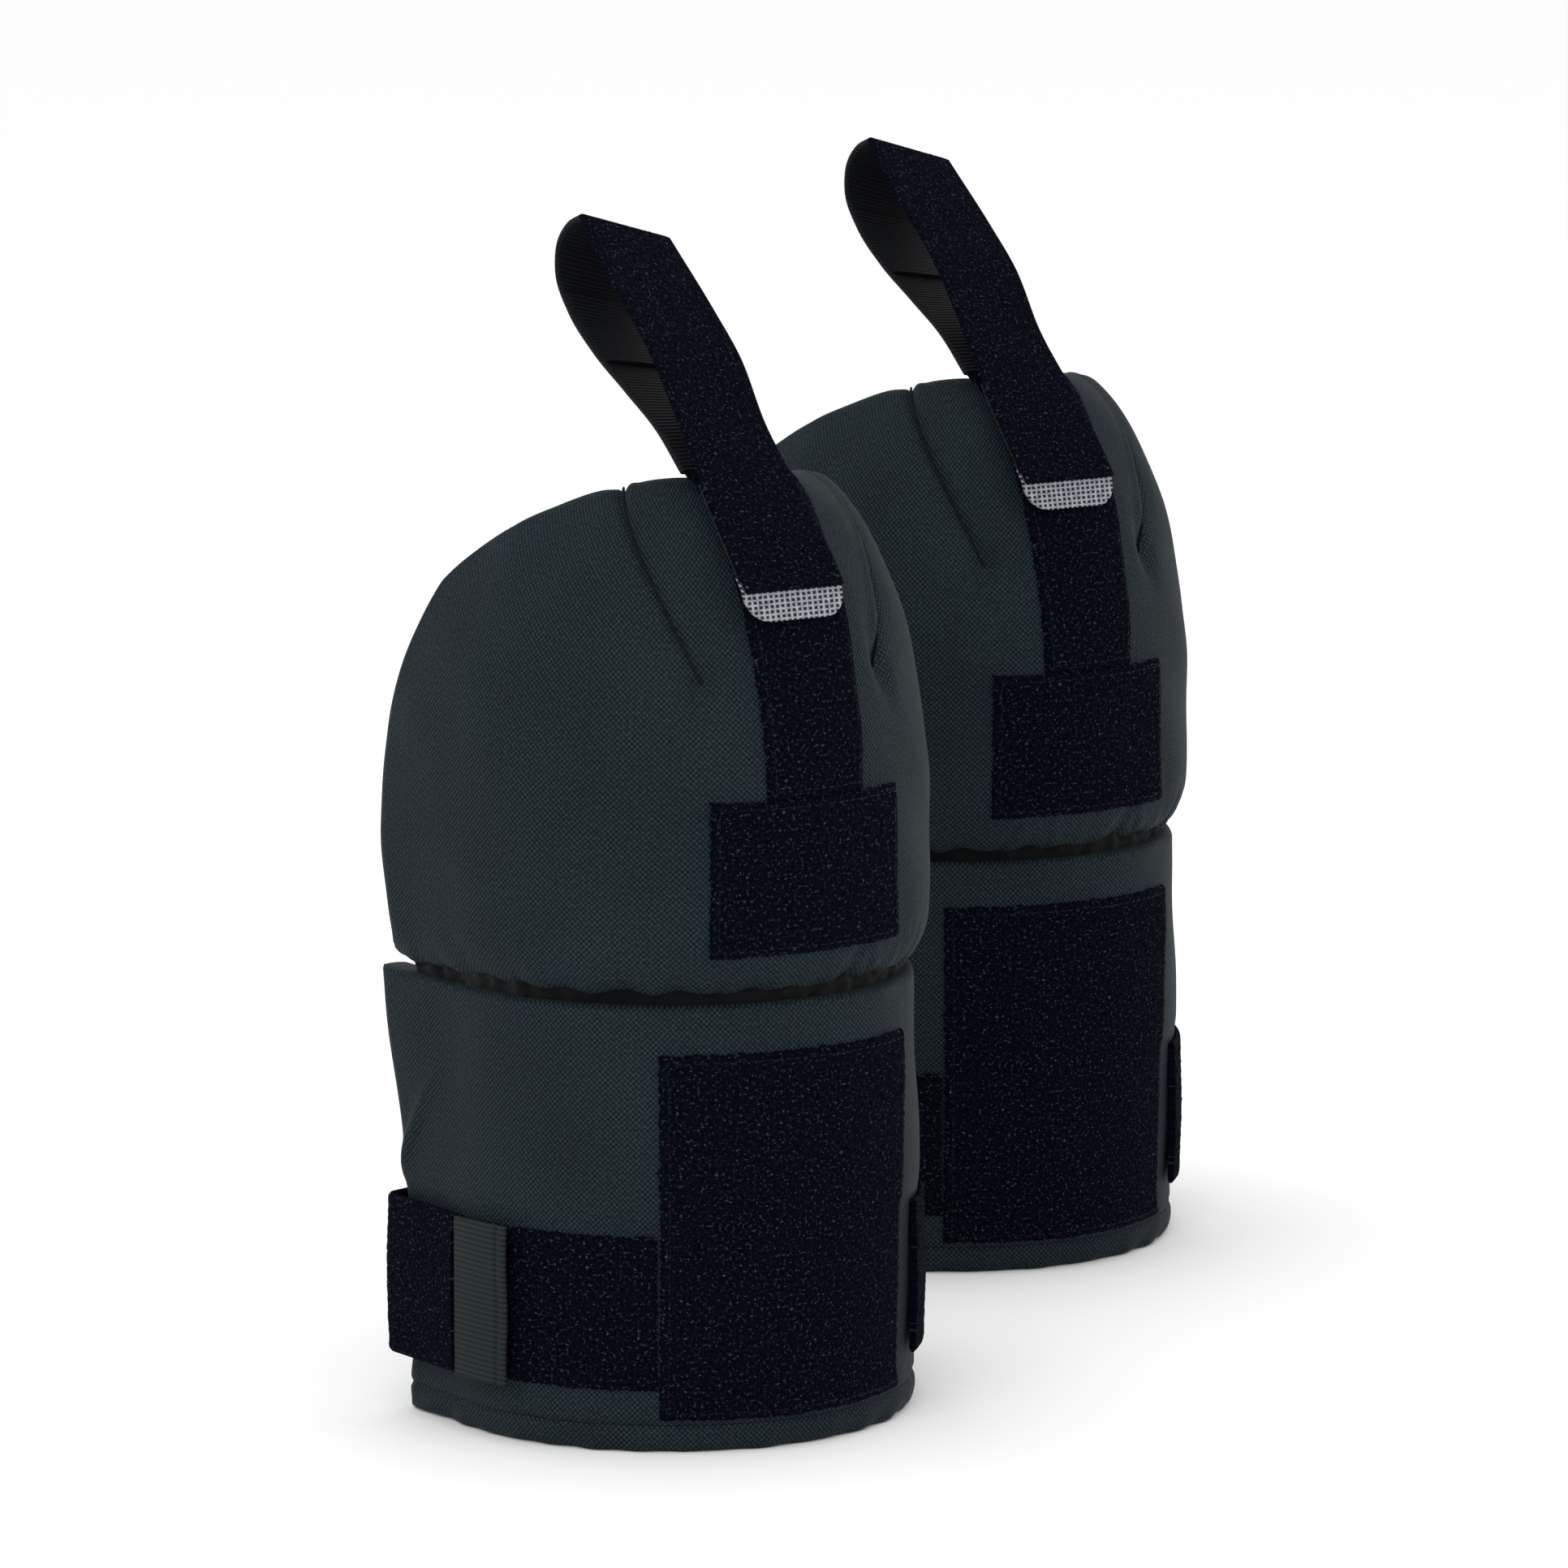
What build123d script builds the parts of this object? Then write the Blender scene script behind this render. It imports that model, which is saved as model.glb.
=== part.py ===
"""A pair of wrap-round knee pads for roof work.

Each pad is two foam panels, one over the knee and one down the shin, sewn together
along a crease so that they bend there. Both panels are open at the back, where the leg
goes in. A calf strap closes the shin panel, and a tape runs up the front of the knee
panel and folds over into a belt loop.

Frame: +Z is up and the pads stand on Z = 0, with their fronts towards -Y. The origin is
under the middle of the pair. All sizes are in millimetres.

A pad is drawn round its own axis, which is the axis of the leg. In plan its wall is a
half circle in front with two straight wings running back. X is the wearer's left-right.
"""

import math
import os

from build123d import *

# ---------------------------------------------------------------- driving dimensions
# The pair
PAD_SPACING = 233.0  # from one leg axis to the other, along X
PAD_STAGGER = 166.0  # how far the right pad stands behind the left one, along Y
CENTRE_SHIFT_X = 0.74  # the straps stand further out on the left, so the pair moves right
CENTRE_SHIFT_Y = 14.92  # the wings and straps reach less far back than the fronts do forwards

# Wall build-up, from the outside in
COVER = 1.0  # woven nylon cover
FOAM = 12.0  # closed-cell foam core
LINING = 1.0  # knitted inner lining
WALL = COVER + FOAM + LINING

# Shin panel
SHIN_RADIUS = 80.0
SHIN_HEIGHT = 145.0
SHIN_WING = 39.0  # how far the straight wings run back from the axis
HEM_TURN = 8.0  # height over which the bottom edge turns in
HEM_IN = 3.0  # how far in it turns
EDGE_TUCK = 1.5  # how far in the wall is drawn at the crease seam

# Knee panel
KNEE_SWELL = 3.5  # how far the fullest radius stands out beyond the shin panel
KNEE_RADIUS = SHIN_RADIUS + KNEE_SWELL
KNEE_HEIGHT = 168.0
CROWN_FALL = 35.0  # height over which the wall closes over the knee
CROWN = KNEE_HEIGHT - CROWN_FALL
FULLEST = CROWN - 71.0  # height of the fullest point above the crease
SHOULDER = CROWN - 41.0  # where the wall starts to lean back
SHOULDER_IN = 3.0  # how far in from the fullest radius the shoulder is
CROWN_RADIUS = KNEE_RADIUS - 16.0
TOP_RADIUS = CROWN_RADIUS - 28.5
KNEE_WING = 48.0
CORNER_HEIGHT = KNEE_HEIGHT - 88.0  # where the rear corner starts to round off
BROW_FALL = 28.5  # the rear corner's round ends this far below the top edge
BROW_BACK = 21.0  # and this far behind the axis
BROW_REACH = 9.0  # the straight of the front rim, along Y

# Bend at the crease: the foam of both wings is cut back to clear the bend
KNEE_BEND_MAX = 45.0
RELIEF_MARGIN = 1.0
RELIEF = KNEE_BEND_MAX / 2 + RELIEF_MARGIN
GUSSET_INSET = 1.5  # the soft gusset is this much thinner than the wall on each side

# Loop tape and patches
TAPE = 2.2
STITCH = 0.5  # height of a stitched seam above the tape
STITCH_WIDTH = 1.0
STITCH_EDGE = 2.5  # from the edge of the tape to the middle of the seam
KNEE_PATCH_WIDTH = 73.0
KNEE_PATCH_HEIGHT = 50.0
KNEE_PATCH_RISE = 17.0  # above the crease
SHIN_PATCH_WIDTH = 91.0
SHIN_PATCH_LOW = 11.0
SHIN_PATCH_HEIGHT = 119.0
FRONT_STRIP_WIDTH = 38.0
SIDE_STRIP_END = 30.0  # how far back along the left wing the side strip runs
TAPE_GAP = 0.4  # between neighbouring tapes

# Calf strap
STRAP = 2.6
STRAP_WIDTH = 50.0
STRAP_LOW = 20.0
STRAP_CLEAR = 0.4  # between the strap and the tape that it fastens to
STRAP_CORNER = 4.0  # the hinge lines stand this far behind the wings
STRAP_BOW = 12.0  # how far the back of the strap bows out
HINGE_GAP = 0.8
HOOK = 1.2  # hook tape
PULL_TAB = 1.6
PULL_TAB_START = 181.0  # a little past the strap's end, so that the tab can lift
PULL_TAB_ANGLE = 17.0  # of the front arc that the pull tab covers

# Belt loop
LOOP = 2.4  # thickness of the loop's tape
LOOP_SHIFT = -4.5  # the loop stands this far off the middle of the front strip
LOOP_CLEAR = 1.8  # between the front strip and the hook tape
LOOP_LEAN = 40.0  # of the straight part of the front limb, from upright
LOOP_TIP = 10.0  # lean of the wall at the end tab's tip
TAB_SPAN = 11.0  # of the wall's lean that the end tab takes
TAB_THICKNESS = 1.2
TAB_CORNER = 9.0
LOOP_RISE = 114.0  # length of the straight part of the front limb
FOLD_WEBBING = 1.2
FOLD_WEBBING_LENGTH = 15.0
# The back limb's bow: how far behind the axis, and how far above the top edge
LOOP_BOW = ((22.0, 15.0), (48.0, 27.0), (67.0, 43.0), (71.0, 58.0))
LOOP_ROOT = 1.8  # height above the rim where the tape leaves the panel
ROOT_IN = 1.2  # how far in it starts
WEBBING_DROP = 11.0  # from the bow's last point to the webbing's foot
WEBBING_IN = 5.3  # how far inside the bow's last point it stands

REACH = 200.0  # half size of the blocks that trim the panels


# ---------------------------------------------------------------- profiles of the walls
CREASE = SHIN_HEIGHT
TOP = CREASE + KNEE_HEIGHT
FOAM_DEPTH = COVER + FOAM


def shin_curve(depth):
    """Draws the shin panel's upright profile, depth inside its outer face."""
    radius = SHIN_RADIUS - depth
    hem = ThreePointArc(
        (-radius + HEM_IN, 0),
        (-radius + HEM_IN * 0.3, HEM_TURN * 0.45),
        (-radius, HEM_TURN),
    )
    wall = Line(hem @ 1, (-radius, CREASE - HEM_TURN))
    TangentArc(wall @ 1, (-radius + EDGE_TUCK, CREASE), tangent=wall % 1)


def knee_curve(depth):
    """Draws the knee panel's upright profile, depth inside its outer face.

    Returns the crown, the last and tightest arc.
    """
    tuck = -(SHIN_RADIUS - EDGE_TUCK) + depth
    body = ThreePointArc(
        (tuck, CREASE),
        (-KNEE_RADIUS + depth, CREASE + FULLEST),
        (-KNEE_RADIUS + SHOULDER_IN + depth, CREASE + SHOULDER),
    )
    turn = TangentArc(body @ 1, (-CROWN_RADIUS + depth, CREASE + CROWN), tangent=body % 1)
    return TangentArc(turn @ 1, (-TOP_RADIUS + depth, TOP), tangent=turn % 1)


def end_points(curve, depth):
    """The lowest and highest point of a profile."""
    if curve is shin_curve:
        radius = SHIN_RADIUS - depth
        return (-radius + HEM_IN, 0), (-radius + EDGE_TUCK, CREASE)
    return (-(SHIN_RADIUS - EDGE_TUCK) + depth, CREASE), (-TOP_RADIUS + depth, TOP)


def wall_layer(curve, outer, inner, wing):
    """One layer of a panel: the half circle in front and both wings, untrimmed.

    The layer fills the strip of the wall between two depths, outer and inner.
    """
    with BuildPart() as layer:
        with BuildSketch(Plane.XZ) as section:
            with BuildLine():
                curve(outer)
                curve(inner)
                for near, far in zip(end_points(curve, outer), end_points(curve, inner)):
                    Line(near, far)
            make_face()
        revolve(axis=Axis.Z, revolution_arc=180)
        extrude(section.sketch, amount=-wing)
        mirror(about=Plane.YZ)
    return layer.part


# ---------------------------------------------------------------- side views of the panels
def knee_outline():
    """Draws the knee panel from the side: relief cut, rear edge, round corner, top."""
    relief_rise = (KNEE_WING + SHIN_RADIUS) * math.tan(math.radians(RELIEF))
    foot = Polyline(
        (-REACH, CREASE),
        (-SHIN_RADIUS, CREASE),
        (KNEE_WING, CREASE + relief_rise),
        (KNEE_WING, CREASE + CORNER_HEIGHT),
    )
    corner = TangentArc(foot @ 1, (BROW_BACK, TOP - BROW_FALL), tangent=foot % 1)
    brow = TangentArc(corner @ 1, (-TOP_RADIUS + BROW_REACH, TOP), tangent=corner % 1)
    Polyline(brow @ 1, (-REACH, TOP), (-REACH, CREASE))


def shin_outline():
    """Draws the shin panel from the side: hem, rear edge and relief cut."""
    relief_drop = (SHIN_WING + SHIN_RADIUS) * math.tan(math.radians(RELIEF))
    Polyline(
        (-REACH, CREASE),
        (-SHIN_RADIUS, CREASE),
        (SHIN_WING, CREASE - relief_drop),
        (SHIN_WING, 0),
        (-REACH, 0),
        close=True,
    )


def gusset_outline():
    """Draws the soft stretch of both wings at the crease, between the relief cuts."""
    half = (SHIN_WING + SHIN_RADIUS) * math.tan(math.radians(RELIEF))
    Polyline(
        (-SHIN_RADIUS, CREASE),
        (SHIN_WING, CREASE + half),
        (SHIN_WING, CREASE - half),
        close=True,
    )


def panel_layer(curve, outline, outer, inner, wing):
    """A layer of a panel, trimmed to the panel's side view."""
    whole = wall_layer(curve, outer, inner, wing)
    with BuildPart() as trimmed:
        add(whole)
        with BuildSketch(Plane.YZ):
            with BuildLine():
                outline()
            make_face()
        extrude(amount=REACH, both=True, mode=Mode.INTERSECT)
    return trimmed.part


def knee_layer(outer, inner):
    """A layer of the knee panel."""
    return panel_layer(knee_curve, knee_outline, outer, inner, KNEE_WING)


def shin_layer(outer, inner):
    """A layer of the shin panel."""
    return panel_layer(shin_curve, shin_outline, outer, inner, SHIN_WING)


def knee_gusset():
    """The wedge of soft wing on each side that crumples as the knee bends."""
    outer, inner = GUSSET_INSET, WALL - GUSSET_INSET
    with BuildPart() as gusset:
        with BuildSketch() as plan:
            with BuildLine():
                arc = CenterArc((0, 0), SHIN_RADIUS - outer, 180, 180)
                back = CenterArc((0, 0), SHIN_RADIUS - inner, 180, 180)
                for end in (0, 1):
                    side = 1 if end else -1
                    tip = Line(arc @ end, (side * (SHIN_RADIUS - outer), SHIN_WING))
                    heel = Line(back @ end, (side * (SHIN_RADIUS - inner), SHIN_WING))
                    Line(tip @ 1, heel @ 1)
            make_face()
        extrude(amount=TOP)
        with BuildSketch(Plane.YZ):
            with BuildLine():
                gusset_outline()
            make_face()
        extrude(amount=REACH, both=True, mode=Mode.INTERSECT)
    return gusset.part


# ---------------------------------------------------------------- tapes, patches, seams
def tape_on(curve, wing, left, right, low, high, back=0.0, start=0.0, thickness=TAPE):
    """Tape on a panel's outer face, between left and right in X, low and high in Z.

    It reaches back to Y = back, and start is its distance from the face.
    """
    whole = wall_layer(curve, -start - thickness, -start, wing)
    with BuildPart() as tape:
        add(whole)
        with BuildSketch(Plane.XY.offset(low)):
            with Locations(((left + right) / 2, (back - REACH) / 2)):
                Rectangle(right - left, REACH + back)
        extrude(amount=high - low, mode=Mode.INTERSECT)
    return tape.part


def seam_on(curve, wing, left, right, low, high, thickness=TAPE):
    """A rectangle of stitching, set in from the edges of the tape under it."""
    whole = tape_on(
        curve,
        wing,
        left + STITCH_EDGE,
        right - STITCH_EDGE,
        low + STITCH_EDGE,
        high - STITCH_EDGE,
        start=thickness,
        thickness=STITCH,
    )
    inset = STITCH_EDGE + STITCH_WIDTH
    with BuildPart() as seam:
        add(whole)
        with BuildSketch(Plane.XZ):
            with Locations(((left + right) / 2, (low + high) / 2)):
                Rectangle(right - left - 2 * inset, high - low - 2 * inset)
        extrude(amount=REACH, mode=Mode.SUBTRACT)
    return seam.part


KNEE_PATCH = (
    -KNEE_PATCH_WIDTH / 2,
    KNEE_PATCH_WIDTH / 2,
    CREASE + KNEE_PATCH_RISE,
    CREASE + KNEE_PATCH_RISE + KNEE_PATCH_HEIGHT,
)
SHIN_PATCH = (
    -SHIN_PATCH_WIDTH / 2,
    SHIN_PATCH_WIDTH / 2,
    SHIN_PATCH_LOW,
    SHIN_PATCH_LOW + SHIN_PATCH_HEIGHT,
)
FRONT_STRIP = (
    -FRONT_STRIP_WIDTH / 2,
    FRONT_STRIP_WIDTH / 2,
    KNEE_PATCH[3] + TAPE_GAP,
    TOP,
)
SIDE_STRIP_RIGHT = SHIN_PATCH[0] - TAPE_GAP
STRAP_TOP = STRAP_LOW + STRAP_WIDTH


def upper_stitching():
    """The seams round the knee patch and up both sides of the front strip."""
    patch = seam_on(knee_curve, KNEE_WING, *KNEE_PATCH)
    strip = seam_on(knee_curve, KNEE_WING, *FRONT_STRIP[:3], CREASE + SHOULDER)
    with BuildPart() as both:
        add(patch)
        add(strip)
    return both.part


# ---------------------------------------------------------------- calf strap
STRAP_INNER = SHIN_RADIUS + TAPE + STRAP_CLEAR  # of the fastened end
STRAP_OUTER = STRAP_INNER + STRAP
STRAP_REAR = SHIN_WING + STRAP_CORNER  # Y of the two hinge lines
RIGHT_HINGE = SHIN_RADIUS + STRAP / 2
LEFT_HINGE = -(STRAP_INNER + STRAP / 2)


def strap_anchor():
    """The sewn end of the calf strap, from the shin patch round the right side."""
    return tape_on(
        shin_curve,
        STRAP_REAR - HINGE_GAP,
        SHIN_PATCH[1] + TAPE_GAP,
        REACH,
        STRAP_LOW,
        STRAP_TOP,
        back=STRAP_REAR - HINGE_GAP,
        thickness=STRAP,
    )


def calf_strap_back():
    """The strap across the open back, bowed out a little."""
    with BuildPart() as strap:
        with BuildLine() as path:
            ThreePointArc(
                (RIGHT_HINGE - HINGE_GAP, STRAP_REAR + HINGE_GAP, STRAP_LOW),
                (0, STRAP_REAR + STRAP_BOW, STRAP_LOW),
                (LEFT_HINGE + HINGE_GAP + STRAP, STRAP_REAR + HINGE_GAP, STRAP_LOW),
            )
        with BuildSketch(Plane(path.line @ 0, x_dir=(0, 0, 1), z_dir=path.line % 0)):
            Rectangle(STRAP_WIDTH, STRAP, align=(Align.MIN, Align.CENTER))
        sweep(path=path.line)
    return strap.part


def calf_strap_end():
    """The fastened end of the strap, along the left wing, ending where the front arc starts."""
    with BuildPart() as strap:
        with BuildSketch(Plane.XY.offset(STRAP_LOW)):
            with Locations((LEFT_HINGE, 0)):
                Rectangle(STRAP, STRAP_REAR - HINGE_GAP, align=(Align.CENTER, Align.MIN))
        extrude(amount=STRAP_WIDTH)
    return strap.part


def strap_hook_patch():
    """Hook tape let into the inner face of the strap's end, meeting the side strip."""
    with BuildPart() as hook:
        with BuildSketch(Plane.XY.offset(STRAP_LOW + 1)):
            with Locations((-STRAP_INNER, SIDE_STRIP_END + 1)):
                Rectangle(HOOK, STRAP_REAR - SIDE_STRIP_END - 2, align=(Align.MIN, Align.MIN))
        extrude(amount=STRAP_WIDTH - 2)
    return hook.part


def strap_pull_tab():
    """A folded tab of ribbed webbing on the strap's end, lying round the front arc."""
    with BuildPart() as tab:
        with BuildSketch(Plane.XY.offset(STRAP_LOW - 0.5)):
            with BuildLine():
                inner = CenterArc((0, 0), STRAP_INNER, PULL_TAB_START, PULL_TAB_ANGLE)
                outer = CenterArc((0, 0), STRAP_INNER + PULL_TAB, PULL_TAB_START, PULL_TAB_ANGLE)
                Line(inner @ 0, outer @ 0)
                Line(inner @ 1, outer @ 1)
            make_face()
        extrude(amount=STRAP_WIDTH + 1)
    return tab.part


# ---------------------------------------------------------------- belt loop
def wrap(outer, inner, first, last):
    """Draws the side view of a strip that follows the crown, open at its upper end.

    It lies from outer to inner off the front strip, between two leans of the wall.
    """
    with BuildLine(mode=Mode.PRIVATE):
        crown = knee_curve(-TAPE)
    centre = crown.arc_center
    far = CenterArc(centre, crown.radius + outer, 180 - last, last - first)
    near = CenterArc(centre, crown.radius + inner, 180 - last, last - first)
    Line(far @ 1, near @ 1)
    return far, near


HOOK_FACE = LOOP_CLEAR
LIMB_INNER = HOOK_FACE + HOOK
LIMB_OUTER = LIMB_INNER + LOOP
TAB_LEAN = LOOP_TIP + TAB_SPAN  # lean of the wall at the tab's upper end


def loop_front_limb():
    """The front limb of the loop: round the crown, then straight up to the fold."""
    rise = Vector(math.sin(math.radians(LOOP_LEAN)), math.cos(math.radians(LOOP_LEAN)))
    with BuildPart() as limb:
        with BuildSketch(Plane.YZ):
            with BuildLine():
                far, near = wrap(LIMB_OUTER, LIMB_INNER, TAB_LEAN, LOOP_LEAN)
                front = Line(far @ 0, far @ 0 + rise * LOOP_RISE)
                rear = Line(near @ 0, near @ 0 + rise * LOOP_RISE)
                Line(front @ 1, rear @ 1)
            make_face()
        extrude(amount=FRONT_STRIP_WIDTH / 2, both=True)
    return limb.part


def loop_patch(outer, inner, first, last, corner=0.0):
    """A piece of the loop that follows the crown between two leans of the wall."""
    with BuildPart() as patch:
        with BuildSketch(Plane.YZ):
            with BuildLine():
                far, near = wrap(outer, inner, first, last)
                Line(far @ 0, near @ 0)
            make_face()
        extrude(amount=FRONT_STRIP_WIDTH / 2, both=True)
        if corner:
            foot = patch.part.bounding_box().min.Z
            with BuildSketch(Plane.XZ) as outline:
                with Locations((0, foot)):
                    Rectangle(FRONT_STRIP_WIDTH, REACH, align=(Align.CENTER, Align.MIN))
                fillet(outline.vertices().group_by(Axis.Y)[0], corner)
            extrude(amount=REACH, mode=Mode.INTERSECT)
    return patch.part


def limb_top(part):
    """The middle of the front limb's upper end."""
    return part.faces().sort_by(Axis.Z)[-1].center()


def loop_back_limb():
    """The tape above the knee panel: up from the rim, bowed back, and over the fold."""
    top = limb_top(loop_front_limb())
    lean = math.radians(LOOP_LEAN)
    down = Vector(0, -math.sin(lean), -math.cos(lean))
    start = Vector(0, -TOP_RADIUS - TAPE / 2 + ROOT_IN, TOP + LOOP_ROOT)
    bow = [Vector(0, back - TOP_RADIUS, TOP + z) for back, z in LOOP_BOW]
    with BuildPart() as limb:
        with BuildLine() as path:
            Spline(start, *bow, top - down * HINGE_GAP, tangents=[(0, 1, 0.65), down])
        with BuildSketch(Plane(path.line @ 0, x_dir=(1, 0, 0), z_dir=path.line % 0)):
            Rectangle(FRONT_STRIP_WIDTH, TAPE)
        sweep(path=path.line)
    return limb.part


def loop_fold_webbing():
    """A patch of ribbed webbing sewn inside the bow of the loop."""
    low = TOP + LOOP_BOW[-1][1] - WEBBING_DROP
    inside = LOOP_BOW[-1][0] - TOP_RADIUS - WEBBING_IN
    with BuildPart() as webbing:
        with BuildSketch(Plane.YZ):
            with Locations((inside, low)):
                Rectangle(FOLD_WEBBING, FOLD_WEBBING_LENGTH, align=(Align.MAX, Align.MIN))
        extrude(amount=FRONT_STRIP_WIDTH / 2 - 1, both=True)
    return webbing.part


# ---------------------------------------------------------------- the pieces of one pad
def shifted(piece):
    """Moves a piece of the belt loop off the middle of the front strip."""
    return piece.moved(Location((LOOP_SHIFT, 0, 0)))


def pad_pieces():
    """Every piece of one pad, by name, round the leg's axis."""
    return {
        "lower_cover": shin_layer(0, COVER),
        "lower_foam": shin_layer(COVER, FOAM_DEPTH),
        "lower_lining": shin_layer(FOAM_DEPTH, WALL),
        "upper_cover": knee_layer(0, COVER),
        "upper_foam": knee_layer(COVER, FOAM_DEPTH),
        "upper_lining": knee_layer(FOAM_DEPTH, WALL),
        "knee_gusset": knee_gusset(),
        "shin_patch": tape_on(shin_curve, SHIN_WING, *SHIN_PATCH),
        "knee_patch": tape_on(knee_curve, KNEE_WING, *KNEE_PATCH),
        "front_strip": tape_on(knee_curve, KNEE_WING, *FRONT_STRIP),
        "side_strip": tape_on(
            shin_curve, SIDE_STRIP_END, -REACH, SIDE_STRIP_RIGHT, STRAP_LOW, STRAP_TOP, SIDE_STRIP_END
        ),
        "upper_stitching": upper_stitching(),
        "lower_stitching": seam_on(shin_curve, SHIN_WING, *SHIN_PATCH),
        "strap_anchor": strap_anchor(),
        "calf_strap_back": calf_strap_back(),
        "calf_strap_end": calf_strap_end(),
        "strap_hook_patch": strap_hook_patch(),
        "strap_pull_tab": strap_pull_tab(),
        "loop_back_limb": shifted(loop_back_limb()),
        "loop_fold_webbing": shifted(loop_fold_webbing()),
        "loop_front_limb": shifted(loop_front_limb()),
        "loop_hook_tape": shifted(loop_patch(LIMB_INNER, HOOK_FACE, TAB_LEAN, LOOP_LEAN)),
        "loop_end_tab": shifted(
            loop_patch(LIMB_INNER, LIMB_INNER - TAB_THICKNESS, LOOP_TIP, TAB_LEAN - 0.5, TAB_CORNER)
        ),
    }


PLACES = {
    "left": (CENTRE_SHIFT_X - PAD_SPACING / 2, CENTRE_SHIFT_Y - PAD_STAGGER / 2, 0),
    "right": (CENTRE_SHIFT_X + PAD_SPACING / 2, CENTRE_SHIFT_Y + PAD_STAGGER / 2, 0),
}

os.makedirs("parts", exist_ok=True)
for name, piece in pad_pieces().items():
    for side, place in PLACES.items():
        placed = piece.moved(Location(place))
        placed.label = f"{side}_{name}"
        export_step(placed, f"parts/{placed.label}.step")
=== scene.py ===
# %% [markdown]
# # A pair of soft knee pads
#
# Each pad is two padded panels that wrap round the leg: one over the knee, one down the
# shin. The CAD model gives the sizes, the joints and where every piece is. This script
# loads it and sews the cloth over it, one kind of piece at a time, then lights it.

# %% The frame
import math

import bpy
import numpy as np
from mathutils import Matrix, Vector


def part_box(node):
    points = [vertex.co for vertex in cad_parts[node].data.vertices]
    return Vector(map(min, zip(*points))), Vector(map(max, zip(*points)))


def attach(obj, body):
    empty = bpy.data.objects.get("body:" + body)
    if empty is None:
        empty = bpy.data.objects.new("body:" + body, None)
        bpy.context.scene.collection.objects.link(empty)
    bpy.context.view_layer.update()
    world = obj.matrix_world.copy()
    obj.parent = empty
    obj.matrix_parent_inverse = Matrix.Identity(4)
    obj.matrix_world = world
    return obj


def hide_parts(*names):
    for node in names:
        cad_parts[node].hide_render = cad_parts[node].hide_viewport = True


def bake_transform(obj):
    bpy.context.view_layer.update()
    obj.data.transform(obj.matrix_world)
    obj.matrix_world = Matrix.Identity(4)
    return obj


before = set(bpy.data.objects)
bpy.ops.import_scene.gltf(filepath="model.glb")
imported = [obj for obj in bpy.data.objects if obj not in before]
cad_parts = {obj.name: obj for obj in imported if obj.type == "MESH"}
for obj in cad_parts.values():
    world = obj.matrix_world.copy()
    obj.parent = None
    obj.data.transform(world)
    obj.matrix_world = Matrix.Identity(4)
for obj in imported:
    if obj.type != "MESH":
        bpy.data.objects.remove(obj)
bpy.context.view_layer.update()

# %% [markdown]
# ## Where each pad stands
#
# It is easiest to draw a pad once, round the axis of the leg, in millimetres: X across,
# Y backwards, Z up. The boxes of the foam cores tell where that axis is for each pad, and
# how high the crease between the panels and the top edge are.

# %% Pads
FOAM_FRONT = 79.0  # from the leg's axis to the front of the foam core
SIDES = ("left", "right")
low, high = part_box("left_upper_cover")
CREASE = low.z * 1000
TOP = high.z * 1000
KNEE_HEIGHT = TOP - CREASE


def pad_axis(side):
    """Where the leg's axis meets the floor: the middle of the foam core in X, and one
    core radius behind its front in Y."""
    low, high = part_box(f"{side}_lower_foam")
    return np.array([(low.x + high.x) * 500, low.y * 1000 + FOAM_FRONT, 0.0])


AXES = {side: pad_axis(side) for side in SIDES}
print("leg axes:", AXES, "crease at", CREASE, "top at", TOP)

# %% [markdown]
# ## Meshes from arrays
#
# Cloth has two faces and a thickness. A piece of it can be a grid of points for the outer
# face, a second grid for the inner face, and a ring of faces round the border that joins
# them. That closes the mesh without any modifier, and leaves every point where the
# formula puts it. The grid's own coordinates become the UV map, in metres, so that a weave
# follows the cloth wherever it goes.


# %% Slabs
def grid_faces(index):
    """The four corners of every cell of a grid of point numbers."""
    corners = (index[:-1, :-1], index[1:, :-1], index[1:, 1:], index[:-1, 1:])
    return np.stack(corners, -1).reshape(-1, 4)


def border(index):
    """The point numbers round the border of a grid, in the order its cells turn."""
    return np.concatenate(
        (index[:, 0], index[-1, 1:], index[-2::-1, -1], index[0, -2:0:-1])
    )


def signed_volume(points, faces):
    """The volume inside a closed mesh, negative if its faces point inwards: the sum over
    its triangles of a dot (b cross c) over six."""
    fan = np.concatenate((faces[:, (0, 1, 2)], faces[:, (0, 2, 3)]))
    a, b, c = points[fan[:, 0]], points[fan[:, 1]], points[fan[:, 2]]
    return np.einsum("ij,ij->i", a, np.cross(b, c)).sum() / 6


def make_mesh(name, points, faces, uv, finishes, finish_of_face=None):
    """Puts arrays of points, faces and UVs into a new object at the origin."""
    mesh = bpy.data.meshes.new(name)
    mesh.vertices.add(len(points))
    mesh.vertices.foreach_set("co", np.ascontiguousarray(points, np.float32).ravel())
    mesh.loops.add(faces.size)
    mesh.loops.foreach_set("vertex_index", np.ascontiguousarray(faces, np.int32).ravel())
    mesh.polygons.add(len(faces))
    mesh.polygons.foreach_set("loop_start", np.arange(len(faces), dtype=np.int32) * 4)
    mesh.polygons.foreach_set("use_smooth", np.ones(len(faces), bool))
    if finish_of_face is not None:
        mesh.polygons.foreach_set("material_index", finish_of_face.astype(np.int32))
    layer = mesh.uv_layers.new(name="cloth")
    layer.data.foreach_set("uv", uv[faces.ravel()].astype(np.float32).ravel())
    mesh.update(calc_edges=True)
    mesh.validate()
    mesh.set_sharp_from_angle(angle=math.radians(70))
    for finish in finishes:
        mesh.materials.append(finish)
    piece = bpy.data.objects.new(name, mesh)
    bpy.context.scene.collection.objects.link(piece)
    return piece


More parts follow.
